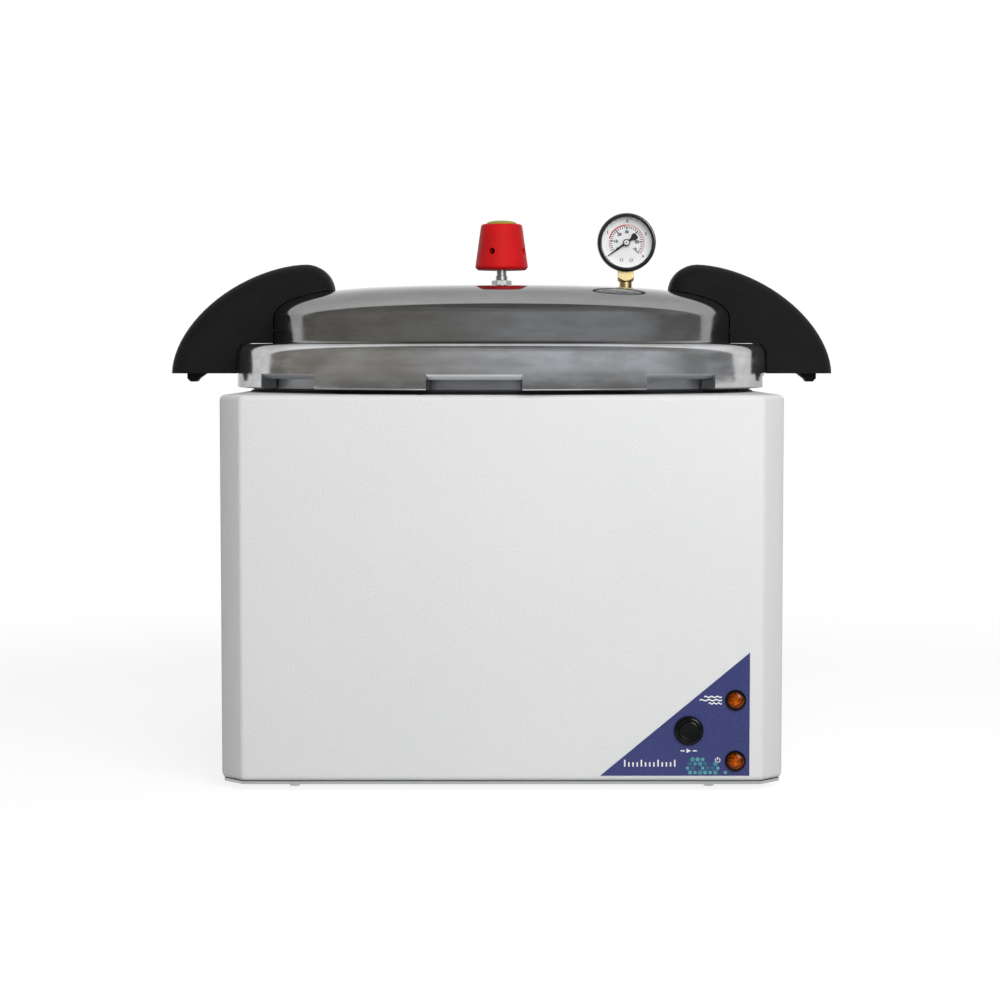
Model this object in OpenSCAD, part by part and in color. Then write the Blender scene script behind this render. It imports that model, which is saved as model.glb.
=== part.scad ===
// Benchtop autoclave: a pressure pot in a sheet-steel cabinet, closed by a bayonet lid.
// The front faces -Y and up is +Z. The origin is on the floor, on the axis of the pot.

/* [Cabinet] */
// Width of the cabinet over its side walls
cab_w = 380; // [380:1:430]
// Depth of the cabinet over its front and rear walls
cab_d = 380; // [380:1:430]
// Height of the cabinet, without base plate and feet
cab_h = 260; // [255:1:300]
// Thickness of the cabinet's sheet steel
sheet_t = 1.5; // [1:0.1:2]
// Leg of the 45 degree facet at the two front corners
front_chamfer = 15; // [8:1:20]
// Outer bend radius along the top and bottom edges
edge_r = 4; // [3:0.5:4]
// Outer bend radius of the upright edges
upright_r = 3; // [2:0.5:4]
// Width of the return flange that carries the base plate
bottom_flange = 16; // [14:1:22]
// Width of the frame left round the rear access opening
rear_frame = 18; // [16:1:26]
// Lap of the rear panel over the opening's frame
rear_lap = 10; // [9:0.5:12]
// Thickness of the rear panel
rear_t = 1.2; // [0.8:0.1:1.5]
// Length of one cooling slot in the rear panel
slot_len = 60; // [40:1:70]
// Height of one cooling slot
slot_h = 3.4; // [2.5:0.1:3.8]
// Pitch of the cooling slots
slot_pitch = 9; // [7:0.5:12]
// Number of cooling slots
slot_count = 7; // [3:1:9]

/* [Base and feet] */
// Thickness of the base plate
base_t = 2; // [1.5:0.1:3]
// Step of the base plate's edge behind the cabinet's wall
base_inset = 1.5; // [1:0.1:3]
// Height of a rubber foot
foot_h = 5; // [5:0.5:9]
// Radius of a rubber foot
foot_r = 13; // [10:0.5:16]
// Distance of a foot's centre from the cabinet's walls
foot_in = 50; // [40:1:60]
// Radius of the base screws' shanks
screw_r = 2; // [1.5:0.1:2]
// Radius of the base screws' heads
screw_head_r = 3.5; // [3:0.1:4]
// Height of the base screws' heads
screw_head_h = 2; // [1.6:0.1:2.4]
// Length of the base screws' shanks
screw_len = 8; // [7:0.5:9]

/* [Chamber] */
// Inner radius of the chamber
chamber_r = 150; // [140:1:150]
// Wall thickness of the pot
pot_wall = 3; // [2:0.1:3]
// Floor thickness of the pot
pot_floor = 4; // [3:0.1:6]
// Outer height of the pot with its flange
pot_h = 244; // [225:1:246]
// Inner radius of the pot's lower corner
pot_corner = 15; // [10:1:20]
// Thickness of the pot's flange
flange_t = 3; // [2.5:0.1:4]
// Radial gap between pot wall and collar
collar_gap = 4; // [3.5:0.1:5]
// Radial width of the collar's ring
collar_w = 26.2; // [24:0.1:26.2]
// Height of the collar
collar_h = 16; // [15:0.5:20]
// Height of the rubber seat ring under the collar
seat_h = 3; // [2:0.1:5]
// Reach of the seat ring's lip beyond the collar
seat_lip = 2.8; // [1.5:0.1:2.8]
// Radius of the trivet's plate
trivet_r = 138; // [120:1:139]
// Height of the trivet's legs
trivet_leg = 18; // [16:1:40]
// Thickness of the trivet's plate
trivet_t = 2; // [1:0.1:4]
// Radius of the trivet's steam holes
trivet_hole_r = 7; // [4:0.5:9]

/* [Bayonet] */
// Number of bayonet lugs
lug_count = 8; // [6:1:8]
// Angle of the gap between two lugs of the lid
notch_deg = 19; // [16:0.5:20]
// Side play of a collar lug in that gap
lug_play_deg = 0.5; // [0.3:0.1:1]
// Angle of the front gap from straight ahead, towards the left
notch_phase = 5.5; // [0:0.5:20]
// Height of the gaps in the lid's rim
notch_h = 7; // [6.8:0.1:8]
// Height of the lid's lugs
lid_lug_h = 6.5; // [5:0.1:6.5]
// Thickness of the collar's lugs
collar_lug_t = 5; // [4:0.1:6]
// Height of the collar's lugs above the foot of the collar
collar_lug_z = 8; // [7.5:0.1:9]
// Radial reach of the collar's lugs
collar_lug_reach = 7.3; // [5:0.1:9]
// Radial play between the lid's bore and the collar's lugs
lid_play = 0.7; // [0.5:0.1:1.2]
// Radial play between the lid's lugs and the collar
lug_play = 0.8; // [0.5:0.1:1.2]

/* [Lid] */
// Wall of the lid's rim
rim_wall = 4.8; // [3.5:0.1:7]
// Height of the lid's rim up to the ledge
rim_h = 31.7; // [31:0.1:36]
// Rounding of the rim's upper edge
rim_fillet = 7.7; // [4:0.1:10]
// Thickness of the ledge
ledge_t = 4.7; // [4:0.1:5.2]
// Outer radius of the dome
dome_r = 169; // [164:0.5:172]
// Height of the dome's upright wall over the ledge
wall_h = 19.3; // [18:0.1:24]
// Rise of the crown over the upright wall
crown_h = 22.6; // [18:0.1:28]
// Fullness of the crown's curve
crown_power = 4.8; // [3:0.1:5.5]
// Wall thickness of the dome
lid_t = 4; // [3:0.1:5]
// Width of the lip inside the gasket
lip_w = 2.5; // [2:0.1:3]
// Depth of that lip under the ledge
lip_h = 4; // [2:0.1:5]
// Width of the gasket outside that lip
gasket_w = 10; // [8:0.5:12]

/* [Handles] */
// Reach of a handle beyond the lid's rim
handle_reach = 49; // [42:0.5:60]
// Length of a handle from its outer side to its crest
handle_len = 100.3; // [95:0.1:104]
// Height of a handle over its flat bottom
handle_h = 80.5; // [78:0.5:90]
// Height of that bottom over the foot of the rim
handle_z = 10; // [4:0.5:14]
// Fullness of the handle's outer curve
handle_power = 1.66; // [1.5:0.01:2.2]
// Radius of the handle's tip over the dome
tip_r = 20.5; // [16:0.5:24]
// Width of a handle across the grip
handle_w = 44; // [38:1:60]
// Rounding of a handle's edges
handle_round = 14; // [8:0.5:15]
// Gap between handle and lid
handle_gap = 0.7; // [0.4:0.1:0.9]
// Distance of a handle screw from the middle of the handle
handle_screw_y = 11; // [8:0.5:13]
// Radius of the handle screws' shanks
handle_screw_r = 2.5; // [2:0.1:3]
// Length of the handle screws' thread in the insert
handle_screw_len = 10; // [6:0.5:12]
// Radius of a threaded brass insert
insert_r = 4.5; // [4:0.1:5.5]
// Length of a threaded brass insert
insert_len = 14; // [13:0.5:18]
// Distance of a stop stud from the rim
stop_x = 34.5; // [30:0.5:38]
// Height of a stop stud under the handle
stop_h = 6.2; // [4:0.1:7]
// Width of a stop stud's foot
stop_w = 7; // [5:0.1:9]
// Thickness of a stop stud across the handle
stop_t = 12; // [8:0.5:20]

/* [Weight valve] */
// Radius of the valve stem's thread
stem_thread_r = 4; // [3.5:0.1:4.2]
// Radius of the stem under the weight
stem_r = 3.7; // [3:0.1:3.8]
// Radius of the steam passage in the stem
stem_bore_r = 1.5; // [1:0.1:2]
// Width across the flats of the stem's nuts
stem_nut_af = 13; // [12:0.1:15]
// Height of the stem's nuts
stem_nut_h = 5.3; // [3.5:0.1:6]
// Radius of the collar on the upper nut
stem_collar_r = 4.4; // [4.3:0.1:6]
// Height of that collar
stem_collar_h = 3.4; // [2:0.1:5]
// Bare stem between that collar and the weight
stem_gap = 4.3; // [2:0.1:8]
// Length of the stem inside the weight
stem_in = 22.4; // [20:0.1:24]
// Play of the weight on the stem
stem_play = 0.3; // [0.2:0.05:0.4]
// Radius of the weight at its widest
weight_r = 19.65; // [18:0.05:22]
// Radius of the weight's flat bottom
weight_foot_r = 17.75; // [16:0.05:17.9]
// Height of the bevel round the bottom
weight_bevel = 2; // [1:0.1:3]
// Radius of the weight at its top
weight_top_r = 15.15; // [14:0.05:17]
// Height of the weight's shell
weight_h = 34; // [32:0.1:38]
// Rounding of the weight's upper edge
weight_round = 2; // [1:0.1:2.4]
// Radius of the metal core
core_r = 11.8; // [10:0.1:12]
// Height of the metal core
core_h = 27; // [26:0.1:29]
// Thickness of the shell's floor under the core
weight_floor = 1; // [0.8:0.1:2]
// Radius of a vent hole
vent_r = 2.5; // [1.5:0.1:3]
// Height of the vent holes over the weight's bottom
vent_z = 13.5; // [10:0.1:16]
// Angle of the front vent hole from straight ahead, towards the left
vent_phase = 24; // [0:1:45]
// Rise of the cap over the weight's top
cap_rise = 2.6; // [1:0.1:4]

/* [Gauge] */
// Distance of the gauge from the lid's axis
gauge_x = 92.4; // [85:0.1:95]
// Height of the gauge's centre over the top of the lid
gauge_rise = 33; // [31:0.1:40]
// Radius of the bezel
bezel_r = 21.65; // [21.2:0.05:23]
// Radius of the visible dial opening
bezel_open_r = 18.5; // [17:0.1:18.9]
// Depth of the bezel
bezel_d = 10; // [8:0.1:12]
// Thickness of the bezel's front lip
bezel_lip = 1.2; // [0.8:0.1:2]
// Distance of the bezel's front from the stem's axis
gauge_front = 16; // [15:0.1:18]
// Depth of the whole gauge
gauge_d = 25; // [24:0.1:28]
// Wall of the gauge's case
case_t = 1.2; // [0.8:0.1:1.4]
// Thickness of the gauge's glass
glass_t = 2; // [1.5:0.1:2.5]
// Distance of the dial behind the glass
dial_gap = 4.6; // [4:0.1:5]
// Thickness of the dial
dial_t = 0.8; // [0.5:0.1:1]
// Width of the brass shank's square
shank_w = 11.7; // [10:0.1:13]
// Width across the flats of the brass hexagon
shank_hex_af = 10; // [10:0.1:13]
// Height of the hexagon
shank_hex_h = 5; // [3:0.1:6]
// Radius of the shank's thread through the lid
shank_thread_r = 4.8; // [4:0.1:5]
// Length of the pointer from its pivot to its tip
pointer_len = 17; // [11:0.1:18]
// Length of the pointer's tail
pointer_tail = 9.5; // [5:0.1:11]
// Thickness of the pointer
pointer_t = 0.5; // [0.3:0.1:0.8]
// Angle of the pointer at rest, left from the top of the dial
pointer_rest = 125.6; // [115:0.1:135]
// Radius of the pointer's arbor
arbor_r = 0.75; // [0.5:0.05:1]
// Middle radius of the curved pressure tube
tube_bend_r = 14; // [13.6:0.1:15]
// Width of that tube along the arbor
tube_w = 5; // [3:0.1:6]

/* [Front panel] */
// Width of the blue overlay along its lower edge
overlay_w = 100.3; // [90:0.1:110]
// Height of the blue overlay along its right edge
overlay_h = 83.3; // [75:0.1:95]
// Thickness of the overlay
overlay_t = 0.3; // [0.2:0.05:0.5]
// Distance of the overlay from the front corner facet
overlay_side = 8.5; // [6:0.1:12]
// Height of the overlay's lower edge over the bottom bend
overlay_low = 0.1; // [0.1:0.1:6]
// Distance of the button's centre from the overlay's right edge
button_in = 40.9; // [36:0.1:44]
// Height of the button's centre over the overlay's lower edge
button_up = 30.7; // [26:0.1:34]
// Radius of the button's bezel
button_bezel_r = 9.85; // [9:0.05:11]
// Rise of the button's bezel over the panel
button_bezel_h = 3.6; // [2.5:0.1:4]
// Radius of the button's threaded barrel
button_barrel_r = 8; // [7.5:0.1:8.2]
// Length of that barrel behind the panel's face
button_barrel_len = 22; // [20:0.5:26]
// Radius of the button's cap
button_cap_r = 6.75; // [6:0.05:6.9]
// Travel of the button's cap
button_travel = 3; // [2:0.1:3.4]
// Running fit of the cap in its bore
button_fit = 0.1; // [0.05:0.01:0.1]
// Distance of the lamps' centres from the overlay's right edge
lamp_in = 9.5; // [9:0.1:11]
// Height of the upper lamp over the overlay's lower edge
lamp_high = 51.2; // [48:0.1:54]
// Height of the lower lamp over the overlay's lower edge
lamp_low = 10.1; // [9:0.1:12]
// Radius of a lamp's bezel
lamp_bezel_r = 7; // [6.6:0.1:8]
// Rise of a lamp's bezel over the panel
lamp_bezel_h = 2; // [1.5:0.1:2.4]
// Radius of a lamp's lens
lens_r = 5.8; // [5:0.1:6]
// Rise of a lamp's lens over its bezel
lens_h = 3.2; // [2:0.1:3.3]
// Radius of a lamp's barrel
lamp_barrel_r = 4.6; // [4:0.1:4.8]
// Length of a lamp's barrel behind the panel's face
lamp_barrel_len = 20; // [16:0.5:24]

/* [Heater and electrics] */
// Radius of the heater plate
heater_r = 110; // [95:1:118]
// Thickness of the heater plate
heater_t = 14; // [10:0.5:15]
// Radius of the ring that the heating element follows
element_ring_r = 85; // [72:1:88]
// Radius of the heating element's tube
element_r = 4; // [3:0.1:5]
// Gap between heater plate and heat shield
shield_gap = 12; // [11:0.5:14]
// Radius of the heat shield
shield_r = 125; // [112:1:130]
// Thickness of the heat shield
shield_t = 1; // [0.6:0.1:1.5]
// Radius of the tie rod under the pot
rod_r = 4; // [3:0.1:5]
// Thickness of the insulating sleeve round the pot
sleeve_t = 15; // [8:0.5:16]
// Radius of the thermostat
thermostat_r = 8; // [6:0.1:10]
// Height of the thermostat
thermostat_h = 9; // [7:0.1:10]
// Side of the control board
board_w = 62; // [50:1:64]
// Height of the control board's standoffs
standoff_h = 8; // [5:0.5:12]
// Distance of the mains inlet from the middle of the rear panel
inlet_x = 120; // [100:1:125]
// Height of the mains inlet over the cabinet's lower edge
inlet_z = 40; // [38:1:60]
// Depth of the mains inlet's socket
inlet_depth = 15.5; // [12:0.5:18]

/* [Hidden] */
$fn = 96;
// Small play of parts that are bolted or pressed together
play = 0.1;
// Smallest corner radius of a bent sheet
least_r = 0.4;
// Steps along a bend, a fillet and the crown
bend_steps = 4;
arc_steps = 6;
crown_steps = 14;
// Overlap of a cut beyond the faces that it opens
over = 1;

// Heights of the cabinet
base_z = foot_h;
cab_z0 = base_z + base_t;
cab_top = cab_z0 + cab_h;
front_y = -cab_d / 2;
rear_y = cab_d / 2;

// Radii of pot, collar and lid
pot_r = chamber_r + pot_wall;
collar_in = pot_r + collar_gap;
dome_in_r = dome_r - lid_t;

// Gasket between the pot's flange and the lid's ledge
gasket_clear = 0.5;
gasket_in = dome_in_r + lip_w + gasket_clear;
gasket_out = gasket_in + gasket_w;

// Neck of the collar, which is widened where the gasket's seat needs it
flange_step = 2.2;
neck_r = max(collar_in + collar_w, gasket_out + flange_step);
collar_lug_r = neck_r + collar_lug_reach;
lid_bore_r = collar_lug_r + lid_play;
rim_r = lid_bore_r + rim_wall;
lid_lug_r = neck_r + lug_play;
pitch_deg = 360 / lug_count;
front_notch = -90 - notch_phase;

// Heights over the foot of the lid's parts
flange_z = seat_h + collar_h;
pot_rim_z = flange_z + flange_t;
ledge_z = seat_h + rim_h;
ledge_low = ledge_z - ledge_t;
wall_top = ledge_z + wall_h;
lid_top = wall_top + crown_h;

// A pot that leaves too little room under the heat shield stands higher, on a taller collar
under_least = 8;
under_room = cab_top + pot_rim_z - pot_h - heater_t - shield_gap - cab_z0;
pot_lift = max(0, under_least - under_room);
lid_z = cab_top + pot_lift;
pot_z0 = lid_z + pot_rim_z - pot_h;

// Seat ring profile: lip, groove and bulge
seat_clear = 1;
seat_lip_h = 0.8;
seat_groove = 0.4;
seat_bulge = 1.2;

// Collar screws from below the cabinet's top
collar_screw_count = 6;
collar_screw_r = 2.5;
collar_screw_head_r = 4.5;
collar_screw_head_h = 3.5;
collar_screw_len = 14;
collar_screw_ring = collar_in + collar_w / 2;
collar_screw_phase = 15;

// Lid fittings
crown_in_z = wall_top - lid_t;
nut_r = stem_nut_af / sqrt(3);
stem_nut_z = lid_top;
stem_collar_z = stem_nut_z + stem_nut_h;
weight_z = stem_collar_z + stem_collar_h + stem_gap;
stem_top = weight_z + stem_in;
stem_tail = 14;
core_z = weight_z + weight_floor;
cap_z = core_z + core_h;
shell_bore_r = core_r + play;
shell_mouth_r = stem_r + 4;
vent_count = 4;

// Safety plug at the back of the crown
plug_y = 95;
plug_r = 6;
plug_head_r = 8.5;
plug_head_h = 2.4;
plug_tail_h = 4;

// Handle screws at half height of the dome's upright wall
handle_out = rim_r + handle_reach;
handle_crest_x = handle_out - handle_len;
handle_z0 = seat_h + handle_z;
handle_top = handle_z0 + handle_h;
handle_screw_z = ledge_z + wall_h / 2;
handle_head_r = 4.5;
handle_head_h = 3.2;
handle_head_x = sqrt(dome_in_r * dome_in_r - pow(handle_screw_y + handle_head_r, 2)) - play;
insert_x = dome_r + handle_gap;
stop_pin_r = 2.5;
stop_pin_len = 10;
stop_slope = 7;
stop_bevel = 2.4;

// Gauge: positions are counted from the stem's axis, forward is -Y
gauge_z = lid_top + gauge_rise;
case_r = bezel_r - 1.25;
case_in_r = case_r - case_t;
glass_y = -gauge_front + bezel_lip;
case_y = glass_y + glass_t;
dial_y = case_y + dial_gap;
dial_back = dial_y + dial_t;
case_back = gauge_d - gauge_front;
dial_r = case_in_r - 0.2;
block_top = 9;
block_back = shank_w / 2;
movement_w = 14;
movement_top = 6;
movement_d = 10.4;
tube_t = 2.2;
tube_start = 32;
tube_sweep = 245;
shank_seat_r = gauge_x - shank_hex_af / sqrt(3);
shank_z = crown_z(shank_seat_r, dome_r, wall_top) + play;
shank_hex_top = shank_z + shank_hex_h;
shank_tail = 13;
shank_nut_af = 15;
shank_nut_h = 5;
pointer_y = dial_y - 2.4;
hub_r = 2.6;
hub_t = 0.9;
pointer_tip_w = 0.5;
pointer_root_w = 2;
pointer_tail_w = 4.2;
arbor_back = dial_back + movement_d - 2;

// Front panel fittings
overlay_right = cab_w / 2 - front_chamfer - overlay_side;
overlay_z = cab_z0 + edge_r + overlay_low;
panel_y = front_y - overlay_t;
button_x = overlay_right - button_in;
button_z = overlay_z + button_up;
button_bore_r = button_cap_r + button_fit;
button_seat = 12.5;
button_cap_len = 10;
button_cap_rise = 0.6;
plunger_r = 2.4;
plunger_len = button_barrel_len + button_bezel_h + button_cap_rise - button_cap_len;
switch_w = 15;
switch_d = 14;
nut_h = 4;
button_nut_af = 19;
lamp_nut_af = 12;
lamp_x = overlay_right - lamp_in;
lamp_heights = [overlay_z + lamp_high, overlay_z + lamp_low];
lens_seat = 1.2;

// Stack under the pot
rod_hole_r = rod_r + 0.2;
heater_z = pot_z0 - heater_t;
shield_z = heater_z - shield_gap;
spacer_r = rod_r + 3;
rod_nut_af = 13;
rod_nut_h = 3.4;
rod_z0 = base_z - rod_nut_h - 0.2;
element_start = 20;
element_pin_len = shield_gap + 4;
element_hole_r = element_r + 3;
sleeve_in = pot_r + 0.5;
sleeve_low = 10;
sleeve_high = 10;
thermostat_ring = 45;

// Points of the holes for the base screws and of the feet
foot_x = cab_w / 2 - foot_in;
foot_y = cab_d / 2 - foot_in;
base_screw_x = cab_w / 2 - bottom_flange / 2 - sheet_t;
base_screw_y = cab_d / 2 - bottom_flange / 2 - sheet_t;
base_screw_points = [
    for (s = [-1, 1]) each [
        [s * foot_x, -base_screw_y],
        [s * foot_x, base_screw_y],
        [s * base_screw_x, -foot_y],
        [s * base_screw_x, foot_y]
    ]
];
foot_points = [for (sx = [-1, 1], sy = [-1, 1]) [sx * foot_x, sy * foot_y]];
foot_cup_h = foot_h - 1.8;

// Electrics on the base plate, inside its return flange and clear of the foot screws
flange_clear = 1.5;
free_x = cab_w / 2 - bottom_flange - flange_clear;
free_y = cab_d / 2 - bottom_flange - flange_clear;
board_x = free_x - board_w / 2;
board_y = free_y - board_w / 2;
board_t = 1.6;
standoff_r = 3;
standoff_in = 6;
relay_size = [19, 15.5, 15];
transformer_core = [44, 36, 30];
transformer_coil = [28, 44, 22];
transformer_plate = [60, 18, 2];
electrics_gap = 10;
transformer_x = -free_x + transformer_plate[0] / 2;
transformer_y = -foot_y + foot_r + electrics_gap + transformer_coil[1] / 2;
block_size = [40, 18, 16];
block_x = -free_x + block_size[0] / 2;
block_y = transformer_y + transformer_coil[1] / 2 + 2 * electrics_gap + block_size[1] / 2;
block_ways = 4;

// Mains inlet
inlet_flange = [50, 25, 2.4];
inlet_body = [27, 19.6];
inlet_socket = [24.4, 16.9];
inlet_wall = 3;
inlet_pin = [2, 4];
inlet_pin_x = 7;
inlet_pin_z = 2;
inlet_pin_len = 13;
inlet_tail = 8;
inlet_screw_x = 20;
inlet_h = cab_z0 + inlet_z;

// Rear panel
rear_w = cab_w - 2 * rear_frame;
rear_z0 = cab_z0 + rear_frame;
rear_h = cab_h - 2 * rear_frame;
rear_screw_in = rear_lap / 2;
rear_screw_r = 1.5;
rear_screw_head_r = 2.8;
rear_screw_head_h = 1.8;
rear_screw_len = 7;
slot_drop = 30;
slot_z = cab_top - rear_frame - slot_drop;
slot_x = rear_w / 4;

// Rear panel screws: three along each upright edge and one at the middle of top and bottom
rear_screw_x = rear_w / 2 + rear_screw_in;
rear_screw_points = concat(
    [for (s = [-1, 1], k = [0, 0.5, 1]) [s * rear_screw_x, rear_z0 + k * rear_h]],
    [[0, rear_z0 - rear_screw_in], [0, rear_z0 + rear_h + rear_screw_in]]
);

// Unit vector
function unit(v) = v / norm(v);

// Arc of a circle in a flat profile, from one angle to another
function arc(c, r, a0, a1, steps = arc_steps) =
    [for (i = [0:steps]) let (a = a0 + (a1 - a0) * i / steps) c + r * [cos(a), sin(a)]];

// Rounded convex corner v of an outline that runs anticlockwise from p to n
function corner(p, v, n, r) =
    let (
        a = unit(p - v),
        b = unit(n - v),
        half = acos(a * b) / 2,
        c = v + unit(a + b) * r / sin(half),
        s = v + a * r / tan(half) - c,
        a0 = atan2(s.y, s.x)
    )
    arc(c, r, a0, a0 + 180 - 2 * half, bend_steps);

// Outline with every corner rounded
function rounded(poly, r) =
    let (n = len(poly))
    [for (i = [0:n - 1]) each corner(poly[(i + n - 1) % n], poly[i], poly[(i + 1) % n], r)];

// Plan of the cabinet, drawn in by e on all sides
function cab_plan(e) =
    let (
        w = cab_w / 2 - e,
        d = cab_d / 2 - e,
        c = front_chamfer - e * (2 - sqrt(2))
    )
    rounded(
        [[-w + c, -d], [w - c, -d], [w, -d + c], [w, d], [-w, d], [-w, -d + c]],
        max(upright_r - e, least_r)
    );

// Inset and height of the rings that follow the cabinet's bent edges
function cab_levels(e) =
    let (r = edge_r - e)
    concat(
        [for (p = arc([e + r, cab_z0 + e + r], r, -90, -180, bend_steps)) p],
        [for (p = arc([e + r, cab_top - e - r], r, 180, 90, bend_steps)) p]
    );

// Height of the crown's curve at radius r, for a dome of radius dome over the height low
function crown_z(r, dome, low) = low + crown_h * sqrt(1 - pow(r / dome, crown_power));

// Curve of the crown from the upright wall to the axis
function crown(dome, low, rise) = [
    for (i = [0:crown_steps])
        let (t = 90 * i / crown_steps)
        [dome * pow(cos(t), 2 / crown_power), low + rise * sin(t)]
];

// Outside of the lid from the rim's foot to the axis, grown by g
function lid_outside(g) = concat(
    [[rim_r + g, seat_h]],
    arc([rim_r - rim_fillet, ledge_z - rim_fillet], rim_fillet + g, 0, 90),
    [[dome_r + g, ledge_z + g]],
    crown(dome_r + g, wall_top, crown_h + g)
);

// Inside of the lid from the axis to the rim's foot
function lid_inside() = concat(
    [for (i = [crown_steps:-1:0]) crown(dome_in_r, crown_in_z, crown_h)[i]],
    [
        [dome_in_r, ledge_low - lip_h],
        [dome_in_r + lip_w, ledge_low - lip_h],
        [dome_in_r + lip_w, ledge_low],
        [lid_bore_r, ledge_low],
        [lid_bore_r, seat_h + lid_lug_h],
        [lid_lug_r, seat_h + lid_lug_h],
        [lid_lug_r, seat_h]
    ]
);

// Centres of the balls that the handle's rounded edge follows, in X and Z
handle_path = concat(
    [
        for (i = [0:8])
            let (t = 90 * i / 8)
            [
                handle_crest_x + (handle_len - handle_round) * pow(cos(t), 2 / handle_power),
                handle_z0 + (handle_h - handle_round) * pow(sin(t), 2 / handle_power)
            ]
    ],
    arc([handle_crest_x, handle_top - tip_r], tip_r - handle_round, 90, 180, 4),
    [[rim_r - handle_round, handle_z0]]
);

// Solid between rings of equally many points, closed at both ends
module loft(rings) {
    n = len(rings[0]);
    m = len(rings);
    sides = [
        for (k = [0:m - 2], i = [0:n - 1])
            let (a = k * n + i, b = k * n + (i + 1) % n)
            each [[a, a + n, b + n], [a, b + n, b]]
    ];
    low = [for (i = [0:n - 1]) i];
    high = [for (i = [n - 1:-1:0]) (m - 1) * n + i];
    polyhedron(points = [for (ring = rings) each ring], faces = concat([low], sides, [high]));
}

// Cabinet volume with bent edges, drawn in by e
module cab_block(e) {
    loft([for (l = cab_levels(e)) [for (p = cab_plan(l[0])) [p.x, p.y, l[1]]]]);
}

// Turned solid about Z
module lathe(profile) {
    rotate_extrude() polygon(profile);
}

// Places pieces at the foot of the lid's parts
module on_top() {
    translate([0, 0, lid_z]) children();
}

// Turns Z to point forward out of the front panel
module facing_front(x, y, z) {
    translate([x, y, z]) rotate([90, 0, 0]) children();
}

// Screw with a flat head under z = 0 and its shank above
module screw_up(head_r, head_h, shank_r, len) {
    translate([0, 0, -head_h]) cylinder(r = head_r, h = head_h);
    translate([0, 0, -head_h / 2]) cylinder(r = shank_r, h = len + head_h / 2);
}

// Hexagon nut on z = 0
module hex_nut(af, h, bore_r) {
    difference() {
        cylinder(r = af / sqrt(3), h = h, $fn = 6);
        translate([0, 0, -over]) cylinder(r = bore_r, h = h + 2 * over);
    }
}

// Upright box centred on X and Y
module block(size, z = 0) {
    translate([-size[0] / 2, -size[1] / 2, z]) cube(size);
}

// Places children at each base screw
module at_points(points, z) {
    for (p = points) translate([p.x, p.y, z]) children();
}

// Places children on the rear panel's outside, pointing back
module on_rear(x, y, z) {
    translate([x, y, z]) rotate([-90, 0, 0]) children();
}

// Bent sheet-steel cabinet with its openings
module cabinet_shell() {
    color("whitesmoke") difference() {
        cab_block(0);
        cab_block(sheet_t);
        translate([0, 0, cab_z0 - over]) linear_extrude(sheet_t + 2 * over)
            polygon(cab_plan(bottom_flange));
        translate([0, 0, cab_top - sheet_t - over]) cylinder(r = collar_in, h = sheet_t + 2 * over);
        translate([-rear_w / 2, rear_y - sheet_t - over, rear_z0])
            cube([rear_w, sheet_t + 2 * over, rear_h]);
        for (k = [0:collar_screw_count - 1])
            rotate(collar_screw_phase + k * 360 / collar_screw_count)
                translate([collar_screw_ring, 0, cab_top - sheet_t - over])
                    cylinder(r = collar_screw_r + play, h = sheet_t + 2 * over);
        at_points(base_screw_points, cab_z0 - over)
            cylinder(r = screw_r + play, h = sheet_t + 2 * over);
        for (p = rear_screw_points)
            on_rear(p.x, rear_y - sheet_t - over, p.y)
                cylinder(r = rear_screw_r + play, h = sheet_t + 2 * over);
        panel_hole(button_x, button_z, button_barrel_r);
        for (z = lamp_heights) panel_hole(lamp_x, z, lamp_barrel_r);
    }
}

// Hole through the front wall for a barrel
module panel_hole(x, z, r) {
    facing_front(x, front_y + sheet_t + over, z) cylinder(r = r + play, h = sheet_t + 2 * over);
}

// Screwed-on rear panel with cooling slots and the inlet's cut-out
module rear_panel() {
    color("gainsboro") difference() {
        translate([-rear_w / 2 - rear_lap, rear_y, rear_z0 - rear_lap])
            cube([rear_w + 2 * rear_lap, rear_t, rear_h + 2 * rear_lap]);
        for (p = rear_screw_points)
            on_rear(p.x, rear_y - over, p.y) cylinder(r = rear_screw_r + play, h = rear_t + 2 * over);
        for (s = [-1, 1]) on_rear(-inlet_x + s * inlet_screw_x, rear_y - over, inlet_h)
            cylinder(r = rear_screw_r + play, h = rear_t + 2 * over);
        translate([-inlet_x - inlet_body[0] / 2 - play, rear_y - over, inlet_h - inlet_body[1] / 2 - play])
            cube([inlet_body[0] + 2 * play, rear_t + 2 * over, inlet_body[1] + 2 * play]);
        for (s = [-1, 1], k = [0:slot_count - 1])
            translate([s * slot_x, rear_y - over, slot_z - k * slot_pitch]) vent_slot();
    }
}

// Cutter of one cooling slot with round ends
module vent_slot() {
    straight = slot_len - slot_h;
    translate([-straight / 2, 0, -slot_h / 2]) cube([straight, rear_t + 2 * over, slot_h]);
    for (s = [-1, 1]) translate([s * straight / 2, 0, 0]) rotate([-90, 0, 0])
        cylinder(r = slot_h / 2, h = rear_t + 2 * over);
}

// Flat base plate under the cabinet
module base_plate() {
    color("lightgray") difference() {
        translate([0, 0, base_z]) linear_extrude(base_t) polygon(cab_plan(base_inset));
        at_points(concat(base_screw_points, foot_points), base_z - over)
            cylinder(r = screw_r + play, h = base_t + 2 * over);
        translate([0, 0, base_z - over]) cylinder(r = rod_hole_r, h = base_t + 2 * over);
    }
}

// Four rubber feet with a cup for the screw
module feet() {
    cup_r = screw_head_r + 1;
    bevel = 1;
    color("dimgray") for (p = foot_points) translate([p.x, p.y, 0])
        lathe([
            [cup_r, 0], [foot_r - 2 * bevel, 0], [foot_r - bevel, bevel], [foot_r, foot_h - bevel],
            [foot_r, foot_h], [screw_r + play, foot_h], [screw_r + play, foot_cup_h], [cup_r, foot_cup_h]
        ]);
}

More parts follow.
